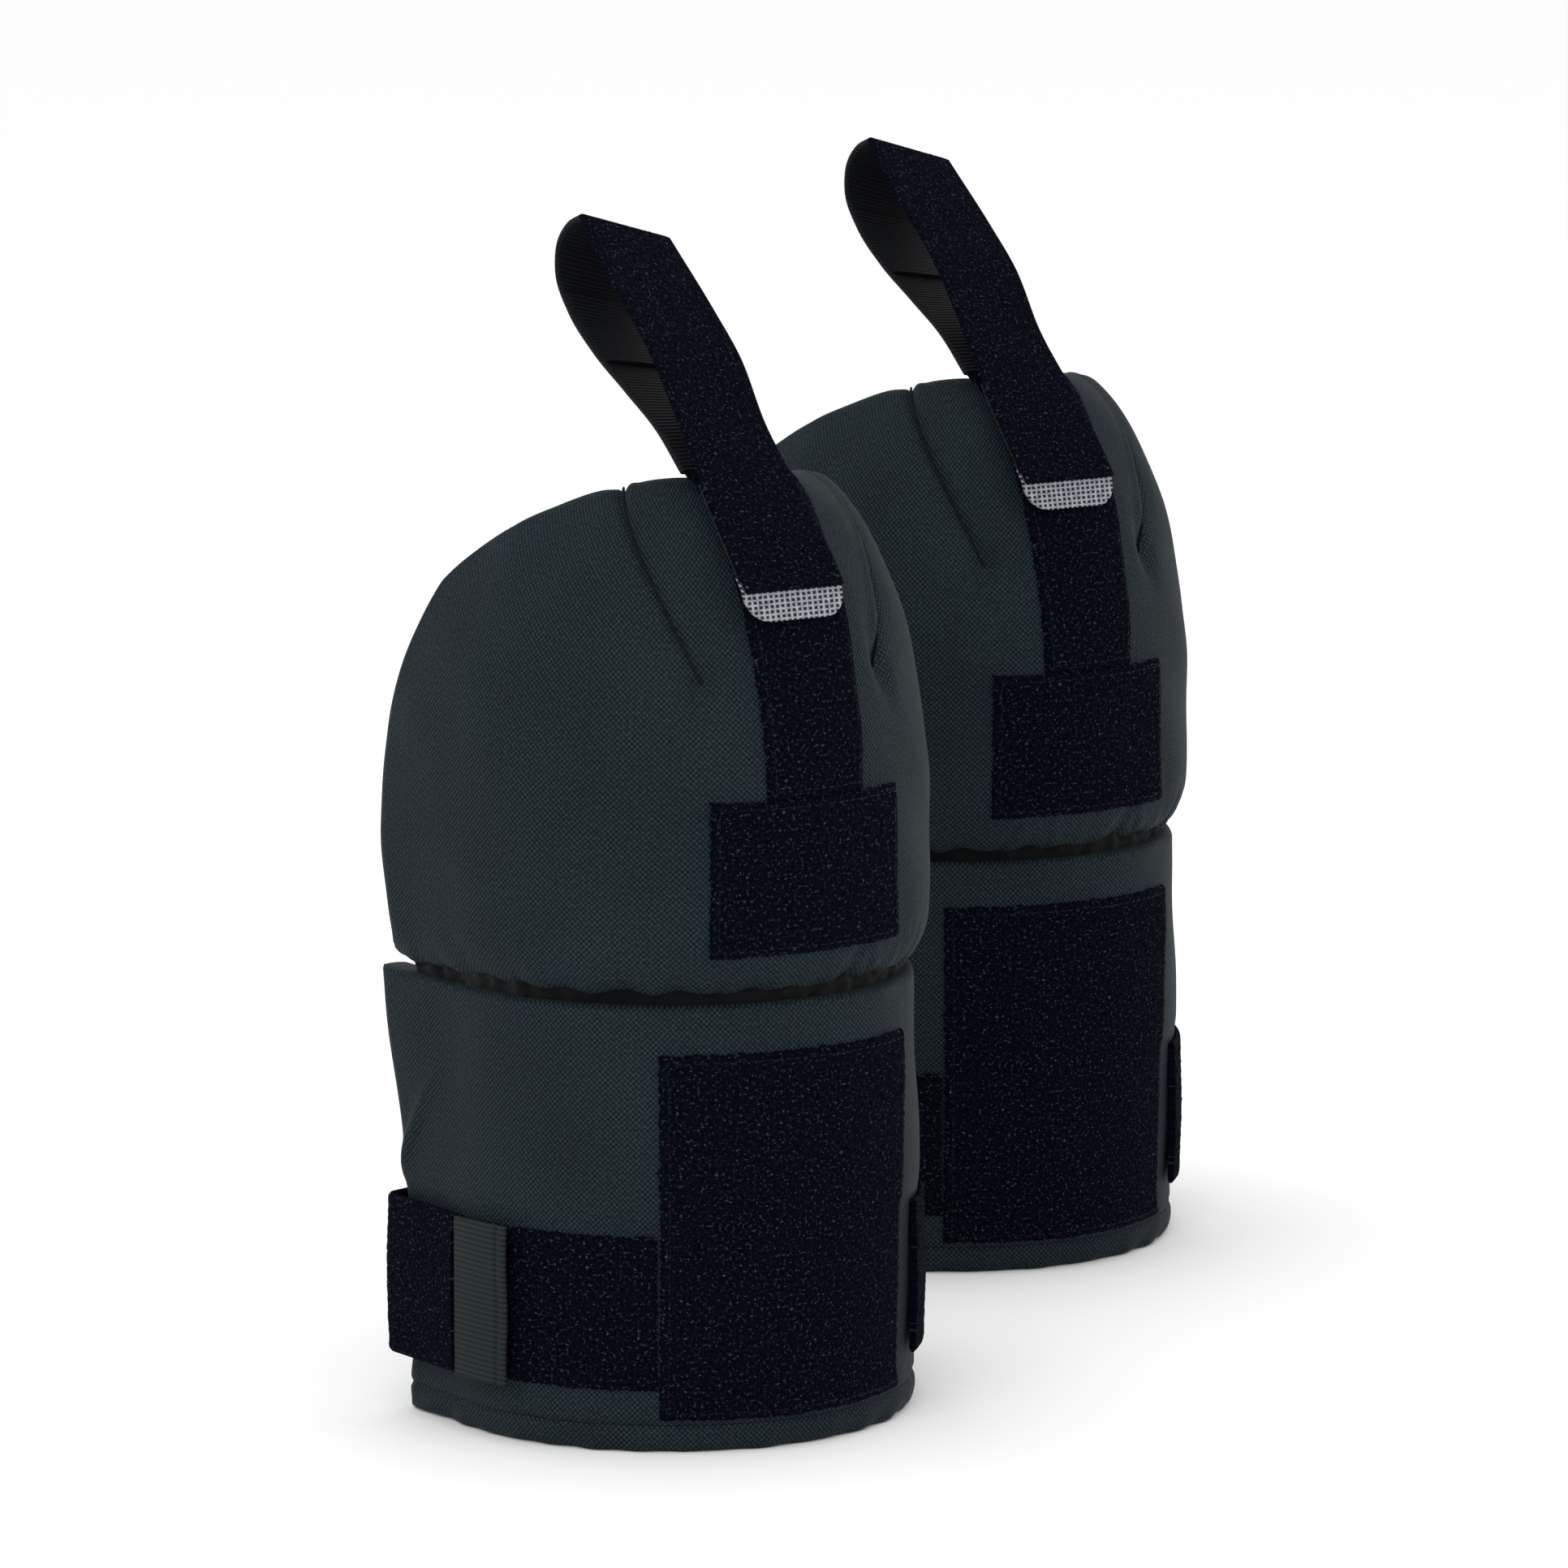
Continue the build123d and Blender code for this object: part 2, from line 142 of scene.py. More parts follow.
def slab(name, outer, inner, uv, finish, inner_finish=None):
    """A closed sheet of cloth between two grids of points, in millimetres, one for each
    pad. Returns the pieces by side."""
    count = outer.shape[0] * outer.shape[1]
    index = np.arange(count).reshape(outer.shape[:2])
    ring = border(index)
    after = np.roll(ring, -1)
    edge = np.stack((after, ring, ring + count, after + count), -1)
    outside = grid_faces(index)
    faces = np.concatenate((outside, edge, outside[:, ::-1] + count))
    finish_of_face = np.zeros(len(faces))
    finish_of_face[len(outside) + len(edge) :] = 0 if inner_finish is None else 1
    points = np.concatenate((outer.reshape(-1, 3), inner.reshape(-1, 3)))
    if signed_volume(points, faces) < 0:
        faces = faces[:, ::-1]
    uv = np.concatenate((uv.reshape(-1, 2),) * 2) / 1000
    finishes = [finish] if inner_finish is None else [finish, inner_finish]
    pieces = {}
    for side in SIDES:
        placed = (points + AXES[side]) / 1000
        pieces[side] = make_mesh(f"{side}_{name}", placed, faces, uv, finishes, finish_of_face)
    print(name, "has", len(faces), "faces")
    return pieces


def smooth(value, start, end):
    """0 before start, 1 after end, and an S-shaped cubic between them."""
    t = np.clip((value - start) / (end - start), 0, 1)
    return t * t * (3 - 2 * t)


def ripple(a, z, wavelength, seed):
    """Soft random waves of about one unit: eight sine waves that run in random
    directions, each with a wavelength near the given one, added up."""
    rng = np.random.default_rng(seed)
    turn = rng.uniform(0, math.tau, 8)
    pitch = math.tau / (wavelength * rng.uniform(0.7, 1.5, 8))
    phase = rng.uniform(0, math.tau, 8)
    a, z = np.asarray(a)[..., None], np.asarray(z)[..., None]
    waves = np.sin((a * np.cos(turn) + z * np.sin(turn)) * pitch + phase)
    return waves.sum(-1) / 2.8


# %% [markdown]
# ## Finishes
#
# Everything here but the grip tab is black or nearly so, and the pieces are told apart by how their
# surface catches light: the cover is a dull coarse weave, the patches are a deep pile of
# nylon loops, the webbing is ribbed. So each finish gets its own structure, in real
# millimetres, and only small differences of colour.


# %% Colour and nodes
def srgb(code):
    """A hex colour as the linear numbers that shaders use."""
    channels = [int(code[k : k + 2], 16) / 255 for k in (1, 3, 5)]
    linear = [c / 12.92 if c <= 0.04045 else ((c + 0.055) / 1.055) ** 2.4 for c in channels]
    return (*linear, 1.0)


def add(tree, kind, inputs=None, **settings):
    """Adds a node, sets its properties, and fills its inputs: a value is set on the
    socket, and an output socket is linked to it."""
    node = tree.nodes.new(kind)
    for key, value in settings.items():
        setattr(node, key, value)
    for key, value in (inputs or {}).items():
        socket = node.inputs[key]
        if isinstance(value, bpy.types.NodeSocket):
            tree.links.new(value, socket)
        else:
            socket.default_value = value
    return node


def new_finish(name, roughness, sheen=0.0, specular=0.12):
    """A material with a cloth-like shader: its tree, its shader and its UV output."""
    material = bpy.data.materials.new(name)
    material.use_nodes = True
    tree = material.node_tree
    shader = tree.nodes["Principled BSDF"]
    shader.inputs["Roughness"].default_value = roughness
    shader.inputs["Specular IOR Level"].default_value = specular
    shader.inputs["Sheen Weight"].default_value = sheen
    shader.inputs["Sheen Roughness"].default_value = 0.45
    uv = add(tree, "ShaderNodeUVMap", uv_map="cloth").outputs["UV"]
    return material, tree, shader, uv


RAMP_TOP = 1.4  # a ramp only reads values up to one, and the sums below go past that


def colour_ramp(tree, factor, stops):
    """A colour ramp through (position, hex colour) stops."""
    scaled = add(tree, "ShaderNodeMath", {0: factor, 1: 1 / RAMP_TOP}, operation="MULTIPLY")
    ramp = add(tree, "ShaderNodeValToRGB", {"Fac": scaled.outputs[0]})
    elements = ramp.color_ramp.elements
    while len(elements) < len(stops):
        elements.new(0.5)
    for element, (position, code) in zip(elements, stops):
        element.position = position / RAMP_TOP
        element.color = srgb(code)
    return ramp.outputs["Color"]


def add_bump(tree, shader, height, distance, strength=1.0):
    """Raises the surface by height, in units of distance in metres."""
    bump = add(
        tree, "ShaderNodeBump", {"Height": height, "Distance": distance, "Strength": strength}
    )
    tree.links.new(bump.outputs["Normal"], shader.inputs["Normal"])


def threads(tree, uv, pitch_u, pitch_v):
    """Waves along U and V of the given pitches, in metres: the two sine waves."""
    split = add(tree, "ShaderNodeSeparateXYZ", {"Vector": uv})
    waves = []
    for axis, pitch in (("X", pitch_u), ("Y", pitch_v)):
        scaled = add(
            tree,
            "ShaderNodeMath",
            {0: split.outputs[axis], 1: math.tau / pitch},
            operation="MULTIPLY",
        )
        waves.append(
            add(tree, "ShaderNodeMath", {0: scaled.outputs[0]}, operation="SINE").outputs[0]
        )
    return waves


# %% [markdown]
# ### Coarse woven nylon
#
# The cover is a coarse plain weave: each thread goes over one and under the next,
# so its surface is a fine checker of small bumps about 0.7 mm apart. That is too fine to
# show from here, so it is drawn at 0.9 mm, which keeps the grain without making false
# stripes. Slightly lighter threads and a soft blotchiness stop it looking printed.

# %% Cover finish
WEAVE = 0.0009


def woven_nylon():
    material, tree, shader, uv = new_finish("woven_nylon", 0.7, sheen=0.015, specular=0.1)
    wave_u, wave_v = threads(tree, uv, WEAVE * 2, WEAVE * 2)
    checker = add(tree, "ShaderNodeMath", {0: wave_u, 1: wave_v}, operation="MULTIPLY").outputs[0]
    slub = add(
        tree, "ShaderNodeTexNoise", {"Vector": uv, "Scale": 900.0, "Detail": 2.0}
    ).outputs["Fac"]
    blotch = add(
        tree, "ShaderNodeTexNoise", {"Vector": uv, "Scale": 22.0, "Detail": 3.0}
    ).outputs["Fac"]
    grain = add(
        tree, "ShaderNodeMath", {0: checker, 1: 0.4, 2: slub}, operation="MULTIPLY_ADD"
    ).outputs[0]
    tone = add(
        tree, "ShaderNodeMath", {0: blotch, 1: 0.35, 2: grain}, operation="MULTIPLY_ADD"
    ).outputs[0]
    colour = colour_ramp(tree, tone, ((0.15, "#030607"), (0.62, "#0b1418"), (1.05, "#223138")))
    tree.links.new(colour, shader.inputs["Base Color"])
    add_bump(tree, shader, grain, 0.00022)
    return material


NYLON = woven_nylon()

# %% [markdown]
# ### Loop pile
#
# The soft half of hook-and-loop tape is a mat of nylon loops. They are so fine that the
# eye sees tufts, one and a half to two millimetres across, almost without colour, with
# here and there a loop that catches the light. Voronoi cells make the tufts, and a much
# finer noise, cut off near its top, paints those glints into the colour as pale specks:
# painted highlights.

# %% Pile finish
TUFT = 0.0017


def loop_pile(name, dark, mid, painted_glint_level):
    material, tree, shader, uv = new_finish(name, 0.95, sheen=0.0, specular=0.03)
    tufts = add(
        tree,
        "ShaderNodeTexVoronoi",
        {"Vector": uv, "Scale": 1 / TUFT, "Randomness": 1.0},
        feature="SMOOTH_F1",
    ).outputs["Distance"]
    fibre = add(
        tree, "ShaderNodeTexNoise", {"Vector": uv, "Scale": 3600.0, "Detail": 2.0}
    ).outputs["Fac"]
    clump = add(
        tree, "ShaderNodeTexNoise", {"Vector": uv, "Scale": 900.0, "Detail": 3.0}
    ).outputs["Fac"]
    height = add(
        tree, "ShaderNodeMath", {0: fibre, 1: 0.7, 2: clump}, operation="MULTIPLY_ADD"
    ).outputs[0]
    relief = add(
        tree, "ShaderNodeMath", {0: height, 1: tufts}, operation="SUBTRACT"
    ).outputs[0]
    # the last stop paints pale glints into the colour where the noise peaks: painted highlights
    colour = colour_ramp(
        tree,
        height,
        ((0.7, dark), (0.98, mid), (painted_glint_level - 0.04, mid), (painted_glint_level, "#56606e")),
    )
    tree.links.new(colour, shader.inputs["Base Color"])
    add_bump(tree, shader, relief, 0.0009)
    return material


PILE = loop_pile("nylon_loop_pile", "#01020a", "#080b19", 1.09)
STRAP_FACE = loop_pile("loop_faced_elastic", "#01020a", "#080b18", 1.09)

# %% [markdown]
# ### Webbing, hooks, lining and thread
#
# Grosgrain is a ribbed tape: thick weft cords lie across it, 1.7 mm apart. The grip tab
# is an open weave of pale threads over a dark base. Hook tape is a field of tiny moulded
# hooks. The lining is a close knit. Thread is twisted polyester.


# %% Webbing finishes
RIB_THREAD = 0.0008  # spacing of the fine threads that cross the ribs


def ribbed_webbing(name, pitch, dark, light, across="Y"):
    material, tree, shader, uv = new_finish(name, 0.6, specular=0.15)
    pitch_u, pitch_v = (pitch, RIB_THREAD) if across == "X" else (RIB_THREAD, pitch)
    wave_u, wave_v = threads(tree, uv, pitch_u, pitch_v)
    ribs = wave_v if across == "Y" else wave_u
    fine = wave_u if across == "Y" else wave_v
    fibre = add(
        tree, "ShaderNodeTexNoise", {"Vector": uv, "Scale": 1500.0, "Detail": 2.0}
    ).outputs["Fac"]
    height = add(
        tree, "ShaderNodeMath", {0: fine, 1: 0.12, 2: ribs}, operation="MULTIPLY_ADD"
    ).outputs[0]
    tone = add(
        tree, "ShaderNodeMath", {0: height, 1: 0.3, 2: fibre}, operation="MULTIPLY_ADD"
    ).outputs[0]
    colour = colour_ramp(tree, tone, ((0.25, dark), (0.8, light)))
    tree.links.new(colour, shader.inputs["Base Color"])
    add_bump(tree, shader, height, 0.0003)
    return material


def grip_weave():
    material, tree, shader, uv = new_finish("pale_open_weave", 0.8, specular=0.1)
    wave_u, wave_v = threads(tree, uv, 0.0021, 0.0016)
    grid = add(tree, "ShaderNodeMath", {0: wave_u, 1: wave_v}, operation="MAXIMUM").outputs[0]
    breaks = add(
        tree, "ShaderNodeTexNoise", {"Vector": uv, "Scale": 520.0, "Detail": 2.0}
    ).outputs["Fac"]
    tone = add(
        tree, "ShaderNodeMath", {0: breaks, 1: 1.9, 2: grid}, operation="MULTIPLY_ADD"
    ).outputs[0]
    level = add(tree, "ShaderNodeMath", {0: tone, 1: 0.4}, operation="MULTIPLY").outputs[0]
    colour = colour_ramp(
        tree, level, ((0.2, "#1c1e22"), (0.42, "#4d5056"), (0.7, "#8b8e93"), (1.1, "#b4b6b9"))
    )
    tree.links.new(colour, shader.inputs["Base Color"])
    add_bump(tree, shader, level, 0.0004)
    return material


def speckled(name, scale, dark, light, roughness):
    """A fine even structure, such as hooks or a knit: one noise for colour and relief."""
    material, tree, shader, uv = new_finish(name, roughness, sheen=0.05)
    grain = add(
        tree, "ShaderNodeTexVoronoi", {"Vector": uv, "Scale": scale, "Randomness": 0.35}
    ).outputs["Distance"]
    colour = colour_ramp(tree, grain, ((0.1, light), (0.6, dark)))
    tree.links.new(colour, shader.inputs["Base Color"])
    add_bump(tree, shader, grain, -0.0003)
    return material


GROSGRAIN = ribbed_webbing("grosgrain_webbing", 0.0017, "#070d0f", "#1b272a")
FOLD_RIBS = ribbed_webbing("ribbed_tape", 0.0016, "#040508", "#12151a", across="Y")
SELVEDGE = ribbed_webbing("woven_selvedge", 0.0012, "#0c1114", "#2a3337")
GRIP = grip_weave()
HOOKS = speckled("moulded_hooks", 650.0, "#08080b", "#26282c", 0.5)
LINING = speckled("knitted_lining", 800.0, "#07080a", "#121417", 0.85)
THREAD = speckled("polyester_thread", 2000.0, "#020304", "#06080b", 0.8)
print(len(bpy.data.materials), "finishes")

# %% [markdown]
# ## The shape of a panel
#
# Seen from above a panel is a half circle in front with straight wings running back.
# A point on it is given by two numbers in millimetres: *a*, the way round from the front
# measured on a circle of 80, and *z*, its height. The radius changes with the height,
# and everything that lies on the panel (patches, tapes, seams) uses the same function,
# so nothing has to be fitted afterwards.

# %% Panel geometry
ROUND = 80.0  # radius on which the way round is measured
QUARTER = ROUND * math.pi / 2  # way round at which a wing starts
KNEE_REACH = QUARTER + 48.0
SHIN_REACH = QUARTER + 39.0
THICK = 14.0  # of the padded wall


def pchip(x, stations):
    """A smooth curve through (x, y) stations that never overshoots them: between two
    stations a cubic Hermite piece, with slopes that are the harmonic mean of the slopes
    of the chords on either side, or nothing where these differ in sign."""
    xs, ys = np.array(stations, float).T
    step = np.diff(xs)
    chord = np.diff(ys) / step
    same = chord[1:] * chord[:-1] > 0
    mean = np.where(same, 2 * chord[1:] * chord[:-1] / np.where(same, chord[1:] + chord[:-1], 1), 0)
    slope = np.concatenate(([chord[0]], mean, [chord[-1]]))
    k = np.clip(np.searchsorted(xs, x) - 1, 0, len(step) - 1)
    t = (x - xs[k]) / step[k]
    return (
        ys[k] * (1 + 2 * t) * (1 - t) ** 2
        + ys[k + 1] * t * t * (3 - 2 * t)
        + step[k] * (slope[k] * t * (1 - t) ** 2 - slope[k + 1] * t * t * (1 - t))
    )


# height above the crease, radius: fullest at a third of the height, then the crown closes
KNEE_STATIONS = (
    (0, 82.2),
    (25, 83.6),
    (60, 84.0),
    (80, 82.6),
    (100, 79.0),
    (116, 74.9),
    (133, 68.4),
    (147, 61.0),
    (158, 52.6),
    (KNEE_HEIGHT, 39.5),
)


def knee_radius(z):
    return pchip(np.asarray(z, float) - CREASE, KNEE_STATIONS)


def shin_radius(z):
    """The shin panel's wall is nearly straight, and swells by a millimetre at half height."""
    return 80.0 + 1.0 * np.sin(np.clip(z / CREASE, 0, 1) * math.pi)


def wrap(a, z, radius):
    """A half circle in front, straight wings behind: the point at a way round and a
    height, for a given radius there."""
    turn = np.clip(a / ROUND, -math.pi / 2, math.pi / 2)
    back = np.clip(np.abs(a) - QUARTER, 0, None)
    return np.stack(
        (radius * np.sin(turn), -radius * np.cos(turn) + back, z + 0 * radius), -1
    )


def normals(shape, a, z, step=0.4):
    """The outward direction of a shape: the cross product of the differences between
    neighbours in a and in z."""
    along = shape(a + step, z) - shape(a - step, z)
    up = shape(a, z + step) - shape(a, z - step)
    n = np.cross(along, up)
    return n / np.linalg.norm(n, axis=-1, keepdims=True)


# %% [markdown]
# ### Seams, puckers and swells
#
# What makes a panel look sewn is small: the crown is shaped by a dart on each side, a
# seam that runs down from the top edge and dies in a dimple; the cloth is gathered where
# it is stitched along the crease; the strap squeezes the shin panel; and the whole
# surface is a little uneven. Each is a height along the panel's normal.

# %% Relief of the panels
DART_TOP = (78.0, TOP - 1)
DART_END = (37.0, CREASE + 104)


def dart(a, z):
    """Depth of the two darts: a narrow valley in a broad one along the line from the top
    edge to the dart's end, fading out there, and a round dimple at the end."""
    a = np.abs(a)
    run = np.array(DART_TOP) - np.array(DART_END)
    length = np.hypot(*run)
    run = run / length
    da, dz = a - DART_END[0], z - DART_END[1]
    along = da * run[0] + dz * run[1]
    off = da * run[1] - dz * run[0] + 2.0 * np.sin(np.clip(along / length, 0, 1) * math.pi)
    fade = smooth(along, -3, 12)
    valley = 1.6 * np.exp(-((off / 1.6) ** 2)) + 1.5 * np.exp(-((off / 7.0) ** 2))
    ridge = 1.1 * np.exp(-(((off + 4.0) / 3.0) ** 2))
    dimple = 3.6 * np.exp(-(da**2 / 22 + (along - 1) ** 2 / 60))
    return -(valley - ridge) * fade - dimple


def gathers(a, z):
    """Puckers of the knee panel above the crease: soft waves round the panel that fade
    with height, strongest at the front, and a few deeper pleats that lean."""
    rise = z - CREASE
    front = 0.55 + 0.45 * np.exp(-(((a - 15) / 55) ** 2))
    waves = ripple(a, rise * 0.3, 17, 5) * 0.9 + ripple(a, rise * 0.6, 8, 6) * 0.5
    pleat_at = np.array((-34.0, -12.0, 6.0, 15.0, 29.0, 44.0, 70.0, -60.0))
    lean = np.array((0.5, -0.4, 0.8, 0.3, -0.5, 0.6, 0.2, -0.3))
    off = a[..., None] - pleat_at - lean * rise[..., None]
    pleats = np.exp(-((off / 1.6) ** 2)).sum(-1)
    return (waves * front * 1.2 - 2.0 * pleats) * np.exp(-rise / 9.0)


def knee_relief(a, z):
    swell = 0.7 * ripple(a, z, 95, 1) + 0.25 * ripple(a, z, 34, 2)
    rim = -0.8 * np.exp(-((TOP - z) / 3.0) ** 2)
    return swell + gathers(a, z) + dart(a, z) + rim


STRAP_LOW, STRAP_TOP = 20.0, 70.0


def shin_relief(a, z):
    """The squeeze of the strap, a soft fold that runs down to it near the end of each
    wing, puckers at the hem, and the general unevenness."""
    swell = 0.6 * ripple(a, z, 80, 3) + 0.2 * ripple(a, z, 30, 4)
    squeeze = -0.7 * smooth(z, STRAP_LOW - 8, STRAP_LOW) * (1 - smooth(z, STRAP_TOP, STRAP_TOP + 9))
    fold_at = QUARTER + 30 - (z - 95) * 0.55
    fold = 1.8 * np.exp(-(((np.abs(a) - fold_at) / 3.2) ** 2))
    fold = fold * smooth(z, 70, 78) * (1 - smooth(z, 92, 122))
    hem = -1.0 * np.exp(-(((z - 9) / 1.0) ** 2)) + 0.6 * ripple(a, z, 13, 8) * np.exp(-z / 6)
    top = 0.35 * ripple(a, z, 22, 9) * np.exp(-(CREASE - z) / 5)
    return swell * smooth(z, 0, 15) + squeeze + fold + hem + top


def knee_base(a, z):
    return wrap(a, z, knee_radius(z))


def shin_base(a, z):
    return wrap(a, z, shin_radius(z))


def on_knee(a, z, lift=0.0):
    """The knee panel's outer surface, raised by lift."""
    a, z = np.broadcast_arrays(np.asarray(a, float), np.asarray(z, float))
    return knee_base(a, z) + normals(knee_base, a, z) * (knee_relief(a, z) + lift)[..., None]


def on_shin(a, z, lift=0.0):
    """The shin panel's outer surface, raised by lift."""
    a, z = np.broadcast_arrays(np.asarray(a, float), np.asarray(z, float))
    return shin_base(a, z) + normals(shin_base, a, z) * (shin_relief(a, z) + lift)[..., None]


# %% [markdown]
# ## The padded panels
#
# A panel is a sandwich of cover, foam and lining, closed round its edge, so in section
# it is a slab with rounded ends. The grid is laid so that its border is the edge of the
# panel: towards the top corners of the knee panel its lines draw in, which rounds them.
# Near an edge the outer face curves inwards along a quarter ellipse.

# %% Panels
CORNER_IN = 0.108  # how far the grid draws in at the top corners, as shares
CORNER_DOWN = 0.244


def edge_round(distance, radius, depth):
    """How far the face curves in near an edge: depth at the edge, nothing at radius from
    it, along a quarter ellipse."""
    t = 1 - np.clip(distance / radius, 0, 1)
    return depth * (1 - np.sqrt(1 - t * t))


def lower_edge(a):
    """How far the gathered lower edge of the knee panel hangs above the crease."""
    return 3.2 + 0.9 * ripple(a, 0 * a, 21, 11) + 0.5 * ripple(a, 0 * a, 9, 12)


def knee_grid(columns, rows):
    """a = reach u (1 - 0.108 v^5) and z = crease + height v (1 - 0.244 u^4), where the
    reach shrinks by 7 towards the crease."""
    u = np.linspace(-1, 1, columns)[:, None]
    v = np.linspace(0, 1, rows)[None, :]
    v = v - 0.35 * np.sin(math.tau * v) / math.tau
    low_in = 7.0 * (1 - smooth(v * KNEE_HEIGHT, 0, 62))
    a = (KNEE_REACH - low_in) * u * (1 - CORNER_IN * v**5)
    z = CREASE + KNEE_HEIGHT * v * (1 - CORNER_DOWN * u**4)
    z = z + lower_edge(a) * (1 - smooth(v * KNEE_HEIGHT, 0, 30))
    return a, z, u + 0 * v, v + 0 * u


def shin_reach(z):
    """The wing's rear edge: it flares back above the strap, up to the crease."""
    return SHIN_REACH + 14.0 * smooth(z, 74, 150) * (z > 0)


def shin_grid(columns, rows):
    u = np.linspace(-1, 1, columns)[:, None]
    v = np.linspace(0, 1, rows)[None, :]
    v = v - 0.4 * np.sin(math.tau * v) / math.tau
    z = CREASE * v + 0 * u
    a = shin_reach(z) * u
    return a, z, u + 0 * v, v + 0 * u


def padded_panel(name, place, a, z, edges, thickness):
    """A panel between its outer face and a face one thickness further in, both drawn
    together near the edges. edges are (distance, radius, depth outside, depth inside)."""
    outer_in = np.zeros_like(a)
    inner_in = np.zeros_like(a)
    for distance, radius, outside, inside in edges:
        outer_in = np.maximum(outer_in, edge_round(distance, radius, outside))
        inner_in = np.maximum(inner_in, edge_round(distance, radius, inside))
    outer = place(a, z, -outer_in)
    inner = place(a, z, -thickness + inner_in)
    uv = np.stack((a, z), -1)
    return slab(name, outer, inner, uv, NYLON)


a, z, u, v = knee_grid(301, 141)
knee_thickness = THICK - 6.0 * smooth(z, CREASE + 100, TOP)
rear = (1 - np.abs(u)) * KNEE_REACH
rim = (1 - v) * KNEE_HEIGHT
lowest = lower_edge(a)
knee_panels = padded_panel(
    "knee_panel",
    on_knee,
    a,
    z,
    (
        (rear, 7.0, 5.5, 5.5),
        (rim, 5.0, 3.4, 3.4),
        (z - CREASE - lowest, 14.0, 8.0, 2.0),
    ),
    knee_thickness,
)
a, z, u, v = shin_grid(281, 111)
rear = (1 - np.abs(u)) * shin_reach(z)
shin_panels = padded_panel(
    "shin_panel",
    on_shin,
    a,
    z,
    (
        (rear, 7.0, 5.5, 5.5),
        (z, 6.0, 3.4, 3.4),
        (CREASE - z, 2.6, 2.2, 3.0),
    ),
    THICK + 0 * z,
)
for side in SIDES:
    knee_nodes = (f"{side}_upper_cover", f"{side}_upper_foam", f"{side}_knee_gusset")
    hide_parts(*knee_nodes)
    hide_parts(f"{side}_lower_cover", f"{side}_lower_foam")

# %% [markdown]
# Between the two panels the gathered cloth is bound with a black tape, set deep in the
# crease. Only a thin uneven line of it shows, which is what makes the crease look dark:
# the tape is a dark strip that paints the shade in the groove under the knee panel.

# %% Crease binding, painted shade
columns = np.linspace(-QUARTER - 36, QUARTER + 36, 321)[:, None]
rows = np.linspace(CREASE - 4, CREASE + 9, 15)[None, :]
a, z = (grid.copy() for grid in np.broadcast_arrays(columns, rows))
folds = 0.5 * ripple(a, 0 * z, 11, 13) + 0.3 * ripple(a, z, 5, 14)
# a black strip deep in the crease: painted shade for the groove under the knee panel
crease_shade_bindings = slab(
    "crease_shade_binding",
    wrap(a, z, 75.6 + folds),
    wrap(a, z, 73.4 + folds),
    np.stack((a, z), -1),
    THREAD,
)

# %% [markdown]
# A dart is closed with a row of stitches, and the two edges of cloth meet in a sharp dark
# line, which is the shade in the narrow crease between them. A grid of one millimetre can't
# hold a line that thin, so it is a narrow welt of its own, in the dark thread colour, that
# lies in the valley, tapering to nothing at the dimple: the seam's thread, with the
# crease's shade painted into it.

# %% Dart seams, with painted shade


def dart_seam_shade(sign):
    """A welt along the dart, whose dark thread colour paints the shade of the dart's crease:
    0.9 wide at the top edge, following the same bowed line as the valley, on one side of the panel."""
    columns, rows = 91, 7
    t = np.linspace(0.0, 0.955, columns)[:, None]
    w = np.linspace(-1, 1, rows)[None, :]
    run = np.array(DART_TOP) - np.array(DART_END)
    length = np.hypot(*run)
    run = run / length
    along = t * length
    off = -2.0 * np.sin(np.clip(along / length, 0, 1) * math.pi) + w * 0.6 * (0.4 + 0.6 * t)
    a = sign * (DART_END[0] + along * run[0] + off * run[1])
    z = DART_END[1] + along * run[1] - off * run[0]
    crown = 0.55 + 0.6 * np.sqrt(1 - w * w) + 0 * t
    outer = on_knee(a, z, crown)
    inner = on_knee(a, z, -0.5)
    # the welt's dark thread colour paints the shade of the dart's crease
    name = "dart_seam_shade_right" if sign > 0 else "dart_seam_shade_left"
    return slab(name, outer, inner, np.stack((a, z), -1), THREAD)


dart_seam_shades = [dart_seam_shade(1), dart_seam_shade(-1)]

# %% [markdown]
# The lining is a thin sheet of knit on the inner face, set in from the edges, where the
# cover is turned over it.

# %% Linings
LINING_SET_IN = 6.0


def lining(name, place, a, z, thickness, node):
    inner = place(a, z, -thickness - 0.1)
    outer = place(a, z, -thickness + 0.7)
    uv = np.stack((a, z), -1)
    pieces = slab(name, outer, inner, uv, LINING)
    for side in SIDES:
        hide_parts(f"{side}_{node}")
    return pieces


a, z, u, v = knee_grid(161, 81)
share = 1 - LINING_SET_IN / KNEE_REACH
a, z = a * share, CREASE + LINING_SET_IN + (z - CREASE) * (1 - 2 * LINING_SET_IN / KNEE_HEIGHT)
knee_linings = lining(
    "knee_lining", on_knee, a, z, THICK - 6.0 * smooth(z, CREASE + 100, TOP), "upper_lining"
)
a, z, u, v = shin_grid(161, 81)
a, z = a * share, LINING_SET_IN + z * (1 - 2 * LINING_SET_IN / CREASE)
shin_linings = lining("shin_lining", on_shin, a, z, THICK + 0 * z, "lower_lining")

# %% [markdown]
# ## Patches and strips of loop tape
#
# The tapes are cut straight across, sewn flat on the cover round their edges, and their
# pile stands about two millimetres high. So a tape is a slab that follows the panel,
# its border rounded down to the cover, with the pile's own unevenness in the top face
# and a slightly ragged edge.

# %% Tapes
PILE_HEIGHT = 2.0
PILE_STEP = 0.95  # grid size of the pile
PATCH_SHIFT = 3.0  # the shin patch is sewn on a little to the left of the middle


